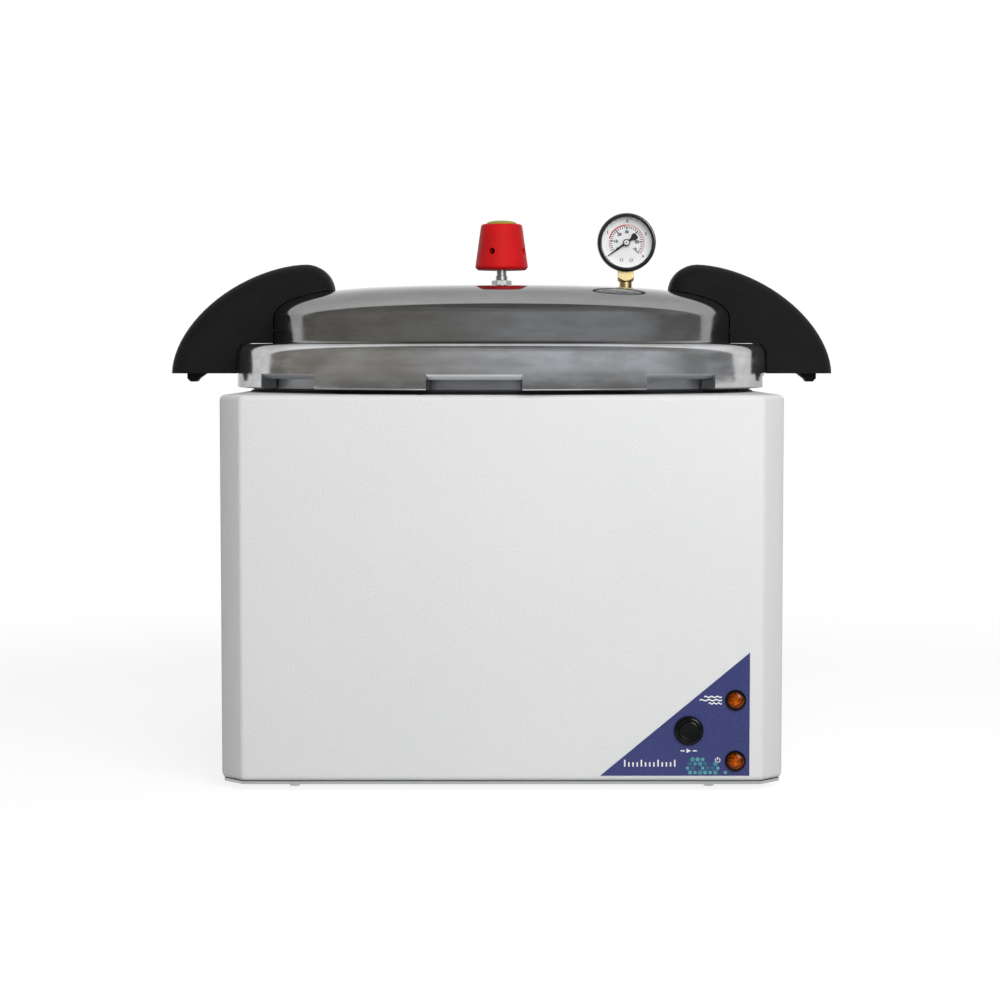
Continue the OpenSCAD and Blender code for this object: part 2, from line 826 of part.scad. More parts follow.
// Screws of base plate and feet
module base_screws() {
    color("silver") {
        at_points(base_screw_points, base_z) screw_up(screw_head_r, screw_head_h, screw_r, screw_len);
        at_points(foot_points, foot_cup_h) screw_up(screw_head_r, screw_head_h, screw_r, screw_len);
    }
}

// Screws of rear panel and mains inlet
module rear_panel_screws() {
    inlet_face = rear_y + rear_t + inlet_flange[2];
    color("silver") {
        for (p = rear_screw_points) on_rear(p.x, rear_y + rear_t, p.y) rear_screw();
        for (s = [-1, 1]) on_rear(-inlet_x + s * inlet_screw_x, inlet_face, inlet_h) rear_screw();
    }
}

// Screw with its head over z = 0 and its shank below
module rear_screw() {
    rotate([180, 0, 0])
        screw_up(rear_screw_head_r, rear_screw_head_h, rear_screw_r, rear_screw_len);
}

// Drawn pot with a turned-out flange
module chamber_pot() {
    bend = 2.5;
    mouth = 4;
    outer = pot_corner + pot_wall;
    flange_low = lid_z + flange_z;
    flange_top = lid_z + pot_rim_z;
    color("silver") lathe(concat(
        [[0, pot_z0]],
        arc([pot_r - outer, pot_z0 + outer], outer, -90, 0),
        arc([pot_r + bend, flange_low - bend], bend, 180, 90),
        [[gasket_out, flange_low], [gasket_out, flange_top]],
        arc([chamber_r + mouth, flange_top - mouth], mouth, 90, 180),
        arc([chamber_r - pot_corner, pot_z0 + pot_floor + pot_corner], pot_corner, 0, -90),
        [[0, pot_z0 + pot_floor]]
    ));
}

// Cast ring with the bayonet lugs that the lid turns under
module bayonet_collar() {
    bevel = 3;
    bite = 0.2;
    lug_deg = notch_deg - 2 * lug_play_deg;
    foot = seat_h - pot_lift;
    color("lightgray") on_top() difference() {
        union() {
            lathe([
                [collar_in, foot], [neck_r, foot], [neck_r, flange_z],
                [collar_in + bevel, flange_z], [collar_in, flange_z - bevel]
            ]);
            for (k = [0:lug_count - 1])
                rotate(front_notch + k * pitch_deg - lug_deg / 2)
                    rotate_extrude(angle = lug_deg)
                        translate([neck_r - bite, seat_h + collar_lug_z])
                            square([collar_lug_reach + bite, collar_lug_t]);
        }
        for (k = [0:collar_screw_count - 1])
            rotate(collar_screw_phase + k * 360 / collar_screw_count)
                translate([collar_screw_ring, 0, foot - over])
                    cylinder(r = collar_screw_r + play, h = collar_screw_len + over);
    }
}

// Rubber ring between collar and cabinet
module seat_ring() {
    outer = neck_r + seat_bulge;
    color("black") translate([0, 0, cab_top]) difference() {
        lathe([
            [collar_in + seat_clear, 0], [neck_r + seat_lip, 0], [neck_r + seat_lip, seat_lip_h],
            [neck_r + seat_groove, seat_lip_h * 1.4], [outer, seat_h * 0.55], [outer, seat_h * 0.9],
            [outer - seat_groove, seat_h], [collar_in + seat_clear, seat_h]
        ]);
        for (k = [0:collar_screw_count - 1])
            rotate(collar_screw_phase + k * 360 / collar_screw_count)
                translate([collar_screw_ring, 0, -over])
                    cylinder(r = collar_screw_r + play, h = seat_h + 2 * over);
    }
}

// Screws that clamp the collar down through the seat ring
module collar_screws() {
    color("silver") for (k = [0:collar_screw_count - 1])
        rotate(collar_screw_phase + k * 360 / collar_screw_count)
            translate([collar_screw_ring, 0, cab_top - sheet_t])
                screw_up(collar_screw_head_r, collar_screw_head_h, collar_screw_r, collar_screw_len);
}

// Perforated plate on legs that keeps the load out of the water
module chamber_trivet() {
    floor_z = pot_z0 + pot_floor;
    leg_r = 5;
    leg_ring = 92;
    leg_start = 100;
    rings = [[0, 1], [40, 6], [74, 12], [110, 18]];
    color("silver") difference() {
        union() {
            translate([0, 0, floor_z + trivet_leg]) cylinder(r = trivet_r, h = trivet_t);
            for (k = [0:2]) rotate(leg_start + k * 120) translate([leg_ring, 0, floor_z])
                cylinder(r = leg_r, h = trivet_leg + trivet_t / 2);
        }
        for (ring = rings, k = [0:ring[1] - 1])
            rotate(k * 360 / ring[1]) translate([ring[0], 0, floor_z + trivet_leg - over])
                cylinder(r = trivet_hole_r, h = trivet_t + 2 * over);
    }
}

// Cast plate under the pot with a groove for the element
module heater_plate() {
    color("darkgray") difference() {
        translate([0, 0, heater_z]) cylinder(r = heater_r, h = heater_t);
        translate([0, 0, heater_z - over]) cylinder(r = rod_hole_r, h = heater_t + 2 * over);
        translate([0, 0, heater_z]) rotate_extrude()
            translate([element_ring_r, 0]) circle(r = element_r + play);
    }
}

// Tubular heating element with its two cold ends
module heater_element() {
    color("slategray") translate([0, 0, heater_z]) {
        rotate(element_start) rotate_extrude(angle = 360 - 2 * element_start)
            translate([element_ring_r, 0]) circle(r = element_r);
        for (s = [-1, 1]) rotate(s * element_start) translate([element_ring_r, 0, -element_pin_len])
            cylinder(r = element_r - 0.5, h = element_pin_len);
    }
}

// Sleeves on the tie rod that set the heights of shield and heater plate
module tie_spacers() {
    color("silver") {
        tie_spacer(shield_z + shield_t, heater_z);
        tie_spacer(cab_z0, shield_z);
    }
}

// One sleeve between two heights
module tie_spacer(z0, z1) {
    translate([0, 0, z0]) difference() {
        cylinder(r = spacer_r, h = z1 - z0);
        translate([0, 0, -over]) cylinder(r = rod_hole_r, h = z1 - z0 + 2 * over);
    }
}

// Sheet disc that shades the base from the heater
module heat_shield() {
    color("lightgray") difference() {
        translate([0, 0, shield_z]) cylinder(r = shield_r, h = shield_t);
        translate([0, 0, shield_z - over]) cylinder(r = rod_hole_r, h = shield_t + 2 * over);
        for (s = [-1, 1]) rotate(s * element_start) translate([element_ring_r, 0, shield_z - over])
            cylinder(r = element_hole_r, h = shield_t + 2 * over);
    }
}

// Stud welded under the pot
module tie_rod() {
    color("silver") translate([0, 0, rod_z0]) cylinder(r = rod_r, h = pot_z0 - rod_z0);
}

// Nut under the base plate that draws pot, heater and shield together
module tie_nut() {
    color("silver") translate([0, 0, base_z - rod_nut_h]) hex_nut(rod_nut_af, rod_nut_h, rod_r + play);
}

// Snap-disc thermostat under the heater plate with two tabs
module thermostat() {
    tab = [5, 0.8, 2.4];
    color("saddlebrown") translate([0, thermostat_ring, heater_z - thermostat_h]) {
        cylinder(r = thermostat_r, h = thermostat_h);
        for (s = [-1, 1]) translate([s * thermostat_r / 2, 0, -tab[2] + 0.4]) block(tab);
    }
}

// Mineral wool sleeve round the pot
module insulation_sleeve() {
    low = pot_z0 + sleeve_low + pot_corner;
    high = rear_z0 + rear_h - sleeve_high;
    color("khaki") translate([0, 0, low]) difference() {
        cylinder(r = sleeve_in + sleeve_t, h = high - low);
        translate([0, 0, -over]) cylinder(r = sleeve_in, h = high - low + 2 * over);
    }
}

// Printed circuit board in the rear right corner
module control_board() {
    z = cab_z0 + standoff_h;
    chip = [14, 8, 4];
    capacitor_r = 5;
    capacitor_h = 14;
    color("darkgreen") translate([board_x, board_y, z]) {
        block([board_w, board_w, board_t]);
        translate([-board_w / 5, -board_w / 4, board_t / 2]) block(chip);
        translate([-board_w / 4, board_w / 5, board_t / 2]) cylinder(r = capacitor_r, h = capacitor_h);
    }
}

// Standoffs that carry the board over the base plate
module board_standoffs() {
    reach = board_w / 2 - standoff_in;
    color("silver") for (sx = [-1, 1], sy = [-1, 1])
        translate([board_x + sx * reach, board_y + sy * reach, cab_z0])
            cylinder(r = standoff_r, h = standoff_h, $fn = 6);
}

// Heater relay on the board
module power_relay() {
    color("black") translate([board_x + board_w / 5, board_y, cab_z0 + standoff_h + board_t])
        block(relay_size);
}

// Mains transformer with laminated core and coil
module transformer() {
    lift = transformer_plate[2];
    color("dimgray") translate([transformer_x, transformer_y, cab_z0]) {
        block(transformer_plate);
        block([transformer_core[0], transformer_core[1], transformer_core[2] + lift]);
        translate([0, 0, lift + (transformer_core[2] - transformer_coil[2]) / 2])
            block(transformer_coil);
    }
}

// Screw terminal block for the mains wires
module terminal_block() {
    step = block_size[0] / block_ways;
    color("ivory") translate([block_x, block_y, cab_z0]) difference() {
        block(block_size);
        for (k = [0:block_ways - 1])
            translate([(k + 0.5) * step - block_size[0] / 2, 0, block_size[2] / 2])
                cylinder(r = step / 4, h = block_size[2]);
    }
}

// Appliance inlet in the rear panel
module mains_inlet() {
    body_len = inlet_depth + inlet_wall - inlet_flange[2];
    color("black") translate([-inlet_x, rear_y + rear_t, inlet_h]) difference() {
        union() {
            translate([-inlet_flange[0] / 2, 0, -inlet_flange[1] / 2])
                cube([inlet_flange[0], inlet_flange[2], inlet_flange[1]]);
            translate([-inlet_body[0] / 2, -body_len, -inlet_body[1] / 2])
                cube([inlet_body[0], body_len + inlet_flange[2] / 2, inlet_body[1]]);
        }
        translate([-inlet_socket[0] / 2, inlet_flange[2] - inlet_depth, -inlet_socket[1] / 2])
            cube([inlet_socket[0], inlet_depth + over, inlet_socket[1]]);
        for (p = inlet_pin_points())
            translate([p.x, -body_len - over, p.y])
                translate([-inlet_pin[0] / 2 - play / 2, 0, -inlet_pin[1] / 2 - play / 2])
                    cube([inlet_pin[0] + play, inlet_wall + 2 * over, inlet_pin[1] + play]);
        for (s = [-1, 1]) translate([s * inlet_screw_x, -over, 0]) rotate([-90, 0, 0])
            cylinder(r = rear_screw_r + play, h = inlet_flange[2] + 2 * over);
    }
}

// Places of the three contact blades in the inlet
function inlet_pin_points() = [[-inlet_pin_x, -inlet_pin_z], [inlet_pin_x, -inlet_pin_z], [0, inlet_pin_z]];

// Contact blades of the inlet with their tails
module inlet_pins() {
    back = inlet_flange[2] - inlet_depth - inlet_wall;
    color("gold") for (p = inlet_pin_points())
        translate([
            -inlet_x + p.x - inlet_pin[0] / 2,
            rear_y + rear_t + back - inlet_tail,
            inlet_h + p.y - inlet_pin[1] / 2
        ])
            cube([inlet_pin[0], inlet_tail + inlet_wall + inlet_pin_len, inlet_pin[1]]);
}

// Printed film in the lower right corner of the front
module panel_overlay() {
    color("darkslateblue") facing_front(0, front_y, 0) linear_extrude(overlay_t) difference() {
        polygon([
            [overlay_right, overlay_z],
            [overlay_right, overlay_z + overlay_h],
            [overlay_right - overlay_w, overlay_z]
        ]);
        translate([button_x, button_z]) circle(r = button_barrel_r + play);
        for (z = lamp_heights) translate([lamp_x, z]) circle(r = lamp_barrel_r + play);
    }
}

// Bezel and barrel of the start button
module button_bezel() {
    rim = 1.4;
    color("black") facing_front(button_x, panel_y, button_z) lathe([
        [button_bezel_r, 0], [button_bezel_r, button_bezel_h / 2],
        [button_bezel_r - rim, button_bezel_h], [button_bore_r, button_bezel_h],
        [button_bore_r, -button_seat], [plunger_r + button_fit, -button_seat],
        [plunger_r + button_fit, -button_barrel_len], [button_barrel_r, -button_barrel_len],
        [button_barrel_r, 0]
    ]);
}

// Nut behind the front wall
module button_nut() {
    color("black") facing_front(button_x, front_y + sheet_t + nut_h, button_z)
        hex_nut(button_nut_af, nut_h, button_barrel_r + play);
}

// Return spring between the cap and the seat in the barrel
module button_spring() {
    wire = 0.8;
    turns = 4;
    steps = 12;
    sides = 6;
    mid_r = button_cap_r - 1.4;
    low = -button_seat + wire;
    high = button_bezel_h + button_cap_rise - button_cap_len - wire;
    rings = [
        for (i = [0:turns * steps])
            let (
                a = 360 * i / steps,
                z = low + (high - low) * i / (turns * steps)
            )
            [
                for (k = [0:sides - 1])
                    let (b = 360 * k / sides, r = mid_r + wire / 2 * cos(b))
                    [r * cos(a), r * sin(a), z + wire / 2 * sin(b)]
            ]
    ];
    color("silver") facing_front(button_x, panel_y, button_z) loft(rings);
}

// Contact block behind the button
module start_switch() {
    pit = button_travel + 1;
    tab = [1, 6, 4];
    color("dimgray") facing_front(button_x, panel_y + button_barrel_len, button_z) difference() {
        union() {
            translate([0, 0, -switch_d]) block([switch_w, switch_w, switch_d]);
            for (s = [-1, 1]) translate([s * switch_w / 4, 0, -switch_d - tab[1]])
                block([tab[0], tab[2], tab[1] + over]);
        }
        translate([0, 0, -pit]) cylinder(r = plunger_r + 2 * button_fit, h = pit + over);
    }
}

// Cap that is pressed to start, with its plunger
module button_cap() {
    dish = 0.5;
    front = button_bezel_h + button_cap_rise;
    color("black") facing_front(button_x, panel_y, button_z) lathe([
        [0, front - dish], [button_cap_r * 0.55, front - dish * 0.6], [button_cap_r - 0.9, front],
        [button_cap_r, front - 0.8], [button_cap_r, front - button_cap_len],
        [plunger_r, front - button_cap_len], [plunger_r, front - button_cap_len - plunger_len],
        [0, front - button_cap_len - plunger_len]
    ]);
}

// Bezel and barrel of one lamp
module lamp_body(z) {
    seat = lamp_bezel_h - lens_seat;
    color("black") facing_front(lamp_x, panel_y, z) lathe([
        [0, seat], [lens_r + play, seat], [lens_r + play, lamp_bezel_h],
        [lamp_bezel_r - 0.5, lamp_bezel_h], [lamp_bezel_r, lamp_bezel_h - 0.5], [lamp_bezel_r, 0],
        [lamp_barrel_r, 0], [lamp_barrel_r, -lamp_barrel_len], [0, -lamp_barrel_len]
    ]);
}

module lamp_upper_body() {
    lamp_body(lamp_heights[0]);
}

module lamp_lower_body() {
    lamp_body(lamp_heights[1]);
}

// Domed amber lens of one lamp
module lamp_lens(z) {
    foot = lamp_bezel_h - lens_seat;
    rise = lens_h;
    color("darkorange") facing_front(lamp_x, panel_y, z) lathe(concat(
        [[0, foot], [lens_r, foot], [lens_r, lamp_bezel_h]],
        [
            for (i = [1:arc_steps])
                let (a = 90 * i / arc_steps)
                [lens_r * cos(a), lamp_bezel_h + rise * sin(a)]
        ]
    ));
}

module lamp_upper_lens() {
    lamp_lens(lamp_heights[0]);
}

module lamp_lower_lens() {
    lamp_lens(lamp_heights[1]);
}

// Nuts of the lamps behind the front wall
module lamp_nuts() {
    color("black") for (z = lamp_heights) facing_front(lamp_x, front_y + sheet_t + nut_h, z)
        hex_nut(lamp_nut_af, nut_h, lamp_barrel_r + play);
}

// Silicone gasket under the lid's ledge
module lid_gasket() {
    groove = 1.6;
    mid = (pot_rim_z + ledge_low) / 2;
    color("white") on_top() lathe([
        [gasket_in, pot_rim_z], [gasket_out - groove, pot_rim_z], [gasket_out, pot_rim_z + groove],
        [gasket_out, ledge_low], [gasket_in, ledge_low], [gasket_in, mid + groove],
        [gasket_in + groove, mid], [gasket_in, mid - groove]
    ]);
}

// Domed lid with the bayonet rim
module lid() {
    color("silver") on_top() difference() {
        lathe(concat(lid_outside(0), lid_inside()));
        for (k = [0:lug_count - 1])
            rotate(front_notch + k * pitch_deg - notch_deg / 2)
                rotate_extrude(angle = notch_deg)
                    translate([lid_lug_r - over, seat_h - over])
                        square([rim_r - lid_lug_r + 2 * over, notch_h + over]);
        translate([0, 0, ledge_z]) cylinder(r = stem_thread_r + play, h = lid_top);
        translate([gauge_x, 0, ledge_z]) cylinder(r = shank_thread_r + play, h = lid_top);
        translate([0, plug_y, ledge_z]) cylinder(r = plug_r + play, h = lid_top);
        for (side = [-1, 1], s = [-1, 1]) at_handle_screw(side, s, dome_in_r - 4 * over)
            cylinder(r = handle_screw_r + play, h = lid_t + 6 * over);
    }
}

// Places children at a handle screw, pointing outwards from the distance x
module at_handle_screw(side, s, x) {
    translate([side * x, s * handle_screw_y, handle_screw_z]) rotate([0, side * 90, 0]) children();
}

// Moulded handle that follows the lid's outside
module handle(side) {
    color("black") on_top() difference() {
        hull() for (p = handle_path, s = [-1, 1])
            translate([side * p.x, s * (handle_w / 2 - handle_round), p.y])
                sphere(r = handle_round, $fn = 32);
        translate([-handle_out - over, -handle_w, handle_z0 - handle_h])
            cube([2 * (handle_out + over), 2 * handle_w, handle_h]);
        lathe(concat([[0, 0], [rim_r + handle_gap, 0]], lid_outside(handle_gap)));
        for (s = [-1, 1]) at_handle_screw(side, s, dome_r - 4 * over)
            cylinder(r = insert_r + play / 2, h = handle_gap + insert_len + 4 * over);
        translate([side * (rim_r + stop_x), 0, handle_z0 - over])
            cylinder(r = stop_pin_r + play / 2, h = stop_pin_len + over);
    }
}

module handle_left() {
    handle(-1);
}

module handle_right() {
    handle(1);
}

// Stop studs under the handles, each with a pin in the handle
module handle_stops() {
    color("black") on_top() for (side = [-1, 1]) translate([side * (rim_r + stop_x), 0, handle_z0]) {
        rotate([90, 0, 0]) linear_extrude(stop_t, center = true) polygon([
            [side * stop_w / 2, 0],
            [side * stop_w / 2, -stop_h + stop_bevel],
            [side * (stop_w / 2 - stop_bevel), -stop_h],
            [-side * stop_w / 2, -stop_h],
            [-side * (stop_w / 2 + stop_slope / 4), -stop_h + stop_bevel],
            [-side * (stop_w / 2 + stop_slope), 0]
        ]);
        translate([0, 0, -over]) cylinder(r = stop_pin_r, h = stop_pin_len + over - play);
    }
}

// Threaded brass inserts in the handles
module handle_inserts() {
    color("gold") on_top() for (side = [-1, 1], s = [-1, 1]) at_handle_screw(side, s, insert_x)
        difference() {
            cylinder(r = insert_r, h = insert_len);
            translate([0, 0, -over]) cylinder(r = handle_screw_r + play / 2, h = insert_len);
        }
}

// Screws from inside the dome into the inserts
module handle_screws() {
    reach = insert_x - handle_head_x + handle_screw_len;
    color("silver") on_top() for (side = [-1, 1], s = [-1, 1]) at_handle_screw(side, s, handle_head_x)
        screw_up(handle_head_r, handle_head_h, handle_screw_r, reach);
}

// Steam outlet with thread, collar and the seat of the weight
module valve_stem() {
    foot = lid_top - lid_t - stem_tail;
    color("silver") on_top() lathe([
        [stem_bore_r, foot], [stem_thread_r, foot], [stem_thread_r, stem_collar_z],
        [stem_collar_r, stem_collar_z], [stem_collar_r, stem_collar_z + stem_collar_h],
        [stem_r, stem_collar_z + stem_collar_h], [stem_r, stem_top], [stem_bore_r, stem_top]
    ]);
}

// Nuts above and below the lid that hold the stem
module valve_nuts() {
    under = crown_z(nut_r, dome_in_r, crown_in_z) - stem_nut_h - play;
    color("silver") on_top() for (z = [stem_nut_z, under])
        translate([0, 0, z]) hex_nut(stem_nut_af, stem_nut_h, stem_thread_r + play);
}

// Radial cutters of the vent holes
module vents() {
    for (k = [0:vent_count - 1]) rotate(-90 - vent_phase + k * 360 / vent_count)
        translate([0, 0, weight_z + vent_z]) rotate([0, 90, 0]) cylinder(r = vent_r, h = 2 * weight_r);
}

// Moulded shell of the weight
module weight_shell() {
    top = weight_z + weight_h;
    color("crimson") on_top() difference() {
        lathe(concat(
            [[shell_mouth_r, weight_z], [weight_foot_r, weight_z], [weight_r, weight_z + weight_bevel]],
            arc([weight_top_r - weight_round, top - weight_round], weight_round, 0, 90),
            [[shell_bore_r, top], [shell_bore_r, core_z], [shell_mouth_r, core_z]]
        ));
        vents();
    }
}

// Metal core that rests on the stem and closes it
module weight_core() {
    bore_r = stem_r + stem_play;
    color("dimgray") on_top() difference() {
        lathe([
            [bore_r, core_z], [core_r, core_z], [core_r, cap_z],
            [0, cap_z], [0, stem_top], [bore_r, stem_top]
        ]);
        vents();
    }
}

// Coloured cap on top of the core
module weight_cap() {
    top = weight_z + weight_h;
    color("yellowgreen") on_top() lathe(concat(
        [[0, cap_z], [core_r - play, cap_z], [core_r - play, top]],
        [
            for (i = [1:arc_steps])
                let (a = 90 * i / arc_steps)
                [(core_r - play) * cos(a), top + cap_rise * sin(a)]
        ]
    ));
}

// Places pieces at the gauge's centre, with Z forward out of the dial
module at_gauge() {
    translate([gauge_x, 0, lid_z + gauge_z]) rotate([90, 0, 0]) children();
}

// Brass shank: thread, hexagon, square and the block inside the case
module gauge_socket() {
    square_top = gauge_rise + lid_top - block_top;
    foot = shank_z - lid_t - shank_tail;
    inner_low = lid_top + gauge_rise - case_in_r + 2;
    color("goldenrod") on_top() translate([gauge_x, 0, 0]) {
        translate([0, 0, foot]) cylinder(r = shank_thread_r, h = shank_z - foot + over);
        translate([0, 0, shank_z]) rotate(30)
            cylinder(r = shank_hex_af / sqrt(3), h = shank_hex_h + over, $fn = 6);
        translate([0, 0, shank_hex_top]) block([shank_w, shank_w, square_top - shank_hex_top]);
        translate([-shank_w / 2, dial_back, inner_low])
            cube([shank_w, block_back - dial_back, square_top - inner_low]);
    }
}

// Nut under the lid that holds the gauge
module gauge_lock_nut() {
    seat = crown_z(gauge_x + shank_nut_af / sqrt(3), dome_in_r, crown_in_z) - play;
    color("goldenrod") on_top() translate([gauge_x, 0, seat - shank_nut_h])
        hex_nut(shank_nut_af, shank_nut_h, shank_thread_r + play);
}

// Cup of the gauge with the slot for the shank
module gauge_case() {
    color("black") difference() {
        at_gauge() lathe([
            [0, -case_back], [case_r, -case_back], [case_r, -case_y], [case_in_r, -case_y],
            [case_in_r, case_t - case_back], [0, case_t - case_back]
        ]);
        on_top() translate([gauge_x, 0, gauge_z - case_r - over])
            block([shank_w + 2 * play, shank_w + 2 * play, case_r]);
    }
}

// Ribbed ring that clamps the glass
module gauge_bezel() {
    rib = 0.5;
    front = gauge_front;
    back = gauge_front - bezel_d;
    color("black") at_gauge() lathe([
        [bezel_open_r, front - bezel_lip], [bezel_open_r + rib, front], [bezel_r - 2 * rib, front],
        [bezel_r, front - 2 * rib], [bezel_r, front - bezel_d / 3],
        [bezel_r - rib, front - bezel_d / 3 - rib], [bezel_r - rib, front - bezel_d / 2],
        [bezel_r, front - bezel_d / 2 - rib], [bezel_r, back], [case_r + play, back],
        [case_r + play, front - bezel_lip]
    ]);
}

// Glass of the gauge
module gauge_lens() {
    color("aliceblue") at_gauge() translate([0, 0, -case_y]) cylinder(r = case_r, h = glass_t);
}

// Printed dial plate
module gauge_dial() {
    color("white") at_gauge() translate([0, 0, -dial_back]) difference() {
        cylinder(r = dial_r, h = dial_t);
        translate([0, 0, -over]) cylinder(r = arbor_r + 0.5, h = dial_t + 2 * over);
    }
}

// Frame of the movement with the arbor's bearing
module gauge_movement() {
    color("goldenrod") at_gauge() translate([0, 0, -dial_back - movement_d]) difference() {
        translate([-movement_w / 2, -block_top, 0]) cube([movement_w, block_top + movement_top, movement_d]);
        translate([0, 0, -over]) cylinder(r = arbor_r + play, h = movement_d + 2 * over);
    }
}

// Curved flat tube that the pressure opens
module bourdon_tube() {
    mid = (tube_w - tube_t) / 2;
    color("goldenrod") at_gauge() rotate(-90 + tube_start) rotate_extrude(angle = tube_sweep)
        translate([tube_bend_r, 0]) {
            square([tube_t, 2 * mid], center = true);
            for (s = [-1, 1]) translate([0, s * mid]) circle(r = tube_t / 2, $fn = 24);
        }
}

// Pointer with hub and arbor
module gauge_pointer() {
    color("black") at_gauge() {
        translate([0, 0, -pointer_y - pointer_t]) rotate(pointer_rest) linear_extrude(pointer_t) polygon([
            [-pointer_root_w / 2, 0], [-pointer_tip_w / 2, pointer_len],
            [pointer_tip_w / 2, pointer_len], [pointer_root_w / 2, 0],
            [pointer_tail_w / 2, -pointer_tail], [-pointer_tail_w / 2, -pointer_tail]
        ]);
        translate([0, 0, -pointer_y - pointer_t / 2]) cylinder(r = hub_r, h = hub_t);
        translate([0, 0, -arbor_back]) cylinder(r = arbor_r, h = arbor_back - pointer_y);
    }
}

// Silicone plug that blows out at excess pressure
module safety_plug() {
    seat = crown_z(plug_y - plug_head_r, dome_r, wall_top) + play;
    under = crown_z(plug_y + plug_head_r, dome_in_r, crown_in_z) - play;
    foot = under - plug_tail_h;
    head = seat + plug_head_h;
    bevel = 2;
    color("black") on_top() translate([0, plug_y, 0]) lathe([
        [0, foot], [plug_head_r - bevel, foot], [plug_head_r, under - plug_tail_h / 2],
        [plug_head_r, under], [plug_r, under], [plug_r, seat], [plug_head_r, seat],
        [plug_head_r, seat + plug_head_h / 2], [plug_head_r - bevel, head], [0, head]
    ]);
}

cabinet_shell();
rear_panel();
base_plate();
feet();
base_screws();
rear_panel_screws();
chamber_pot();
bayonet_collar();
seat_ring();
collar_screws();
chamber_trivet();
heater_plate();
heater_element();
tie_spacers();
heat_shield();
tie_rod();
tie_nut();
thermostat();
insulation_sleeve();
control_board();
board_standoffs();
power_relay();
transformer();
terminal_block();
mains_inlet();
inlet_pins();
panel_overlay();
button_bezel();
button_nut();
button_spring();
start_switch();
button_cap();
lamp_upper_body();
lamp_lower_body();
lamp_upper_lens();
lamp_lower_lens();
lamp_nuts();
lid_gasket();
lid();
handle_left();
handle_right();
handle_stops();
handle_inserts();
handle_screws();
valve_stem();
valve_nuts();
weight_shell();
weight_core();
weight_cap();
gauge_socket();
gauge_lock_nut();
gauge_case();
gauge_bezel();
gauge_lens();
gauge_dial();
gauge_movement();
bourdon_tube();
gauge_pointer();
safety_plug();
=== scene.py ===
import math

import bmesh
import bpy
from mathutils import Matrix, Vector


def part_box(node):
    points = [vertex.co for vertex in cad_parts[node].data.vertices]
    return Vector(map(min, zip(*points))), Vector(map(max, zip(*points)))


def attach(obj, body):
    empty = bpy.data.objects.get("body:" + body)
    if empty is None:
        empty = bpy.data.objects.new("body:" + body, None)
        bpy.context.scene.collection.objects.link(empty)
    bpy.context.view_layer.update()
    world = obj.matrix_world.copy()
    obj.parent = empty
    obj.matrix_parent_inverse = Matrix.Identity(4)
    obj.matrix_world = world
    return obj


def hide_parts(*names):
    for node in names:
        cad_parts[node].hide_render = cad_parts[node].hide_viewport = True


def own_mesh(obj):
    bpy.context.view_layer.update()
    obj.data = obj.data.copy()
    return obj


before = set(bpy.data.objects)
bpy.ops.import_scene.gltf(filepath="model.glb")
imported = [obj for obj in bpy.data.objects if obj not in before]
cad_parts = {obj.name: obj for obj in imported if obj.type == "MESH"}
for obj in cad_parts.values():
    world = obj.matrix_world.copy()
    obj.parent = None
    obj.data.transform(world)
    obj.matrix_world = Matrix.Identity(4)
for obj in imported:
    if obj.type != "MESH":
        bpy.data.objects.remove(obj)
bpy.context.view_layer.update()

# Camera: a long lens at the height of the lid, square to the cabinet's front and tipped a little down.
# It stands where the object fills the picture as it does in the photograph.
camera_place = (-0.0012, -1.75, 0.2937)
camera_tilt = math.radians(90 - 3.55)
camera_lens = 84.24
bpy.ops.object.camera_add(location=camera_place, rotation=(camera_tilt, 0, 0))
camera = bpy.context.object
camera.data.lens = camera_lens
camera.data.sensor_width = 36
bpy.context.scene.camera = camera
bpy.context.scene.view_settings.view_transform = "Standard"


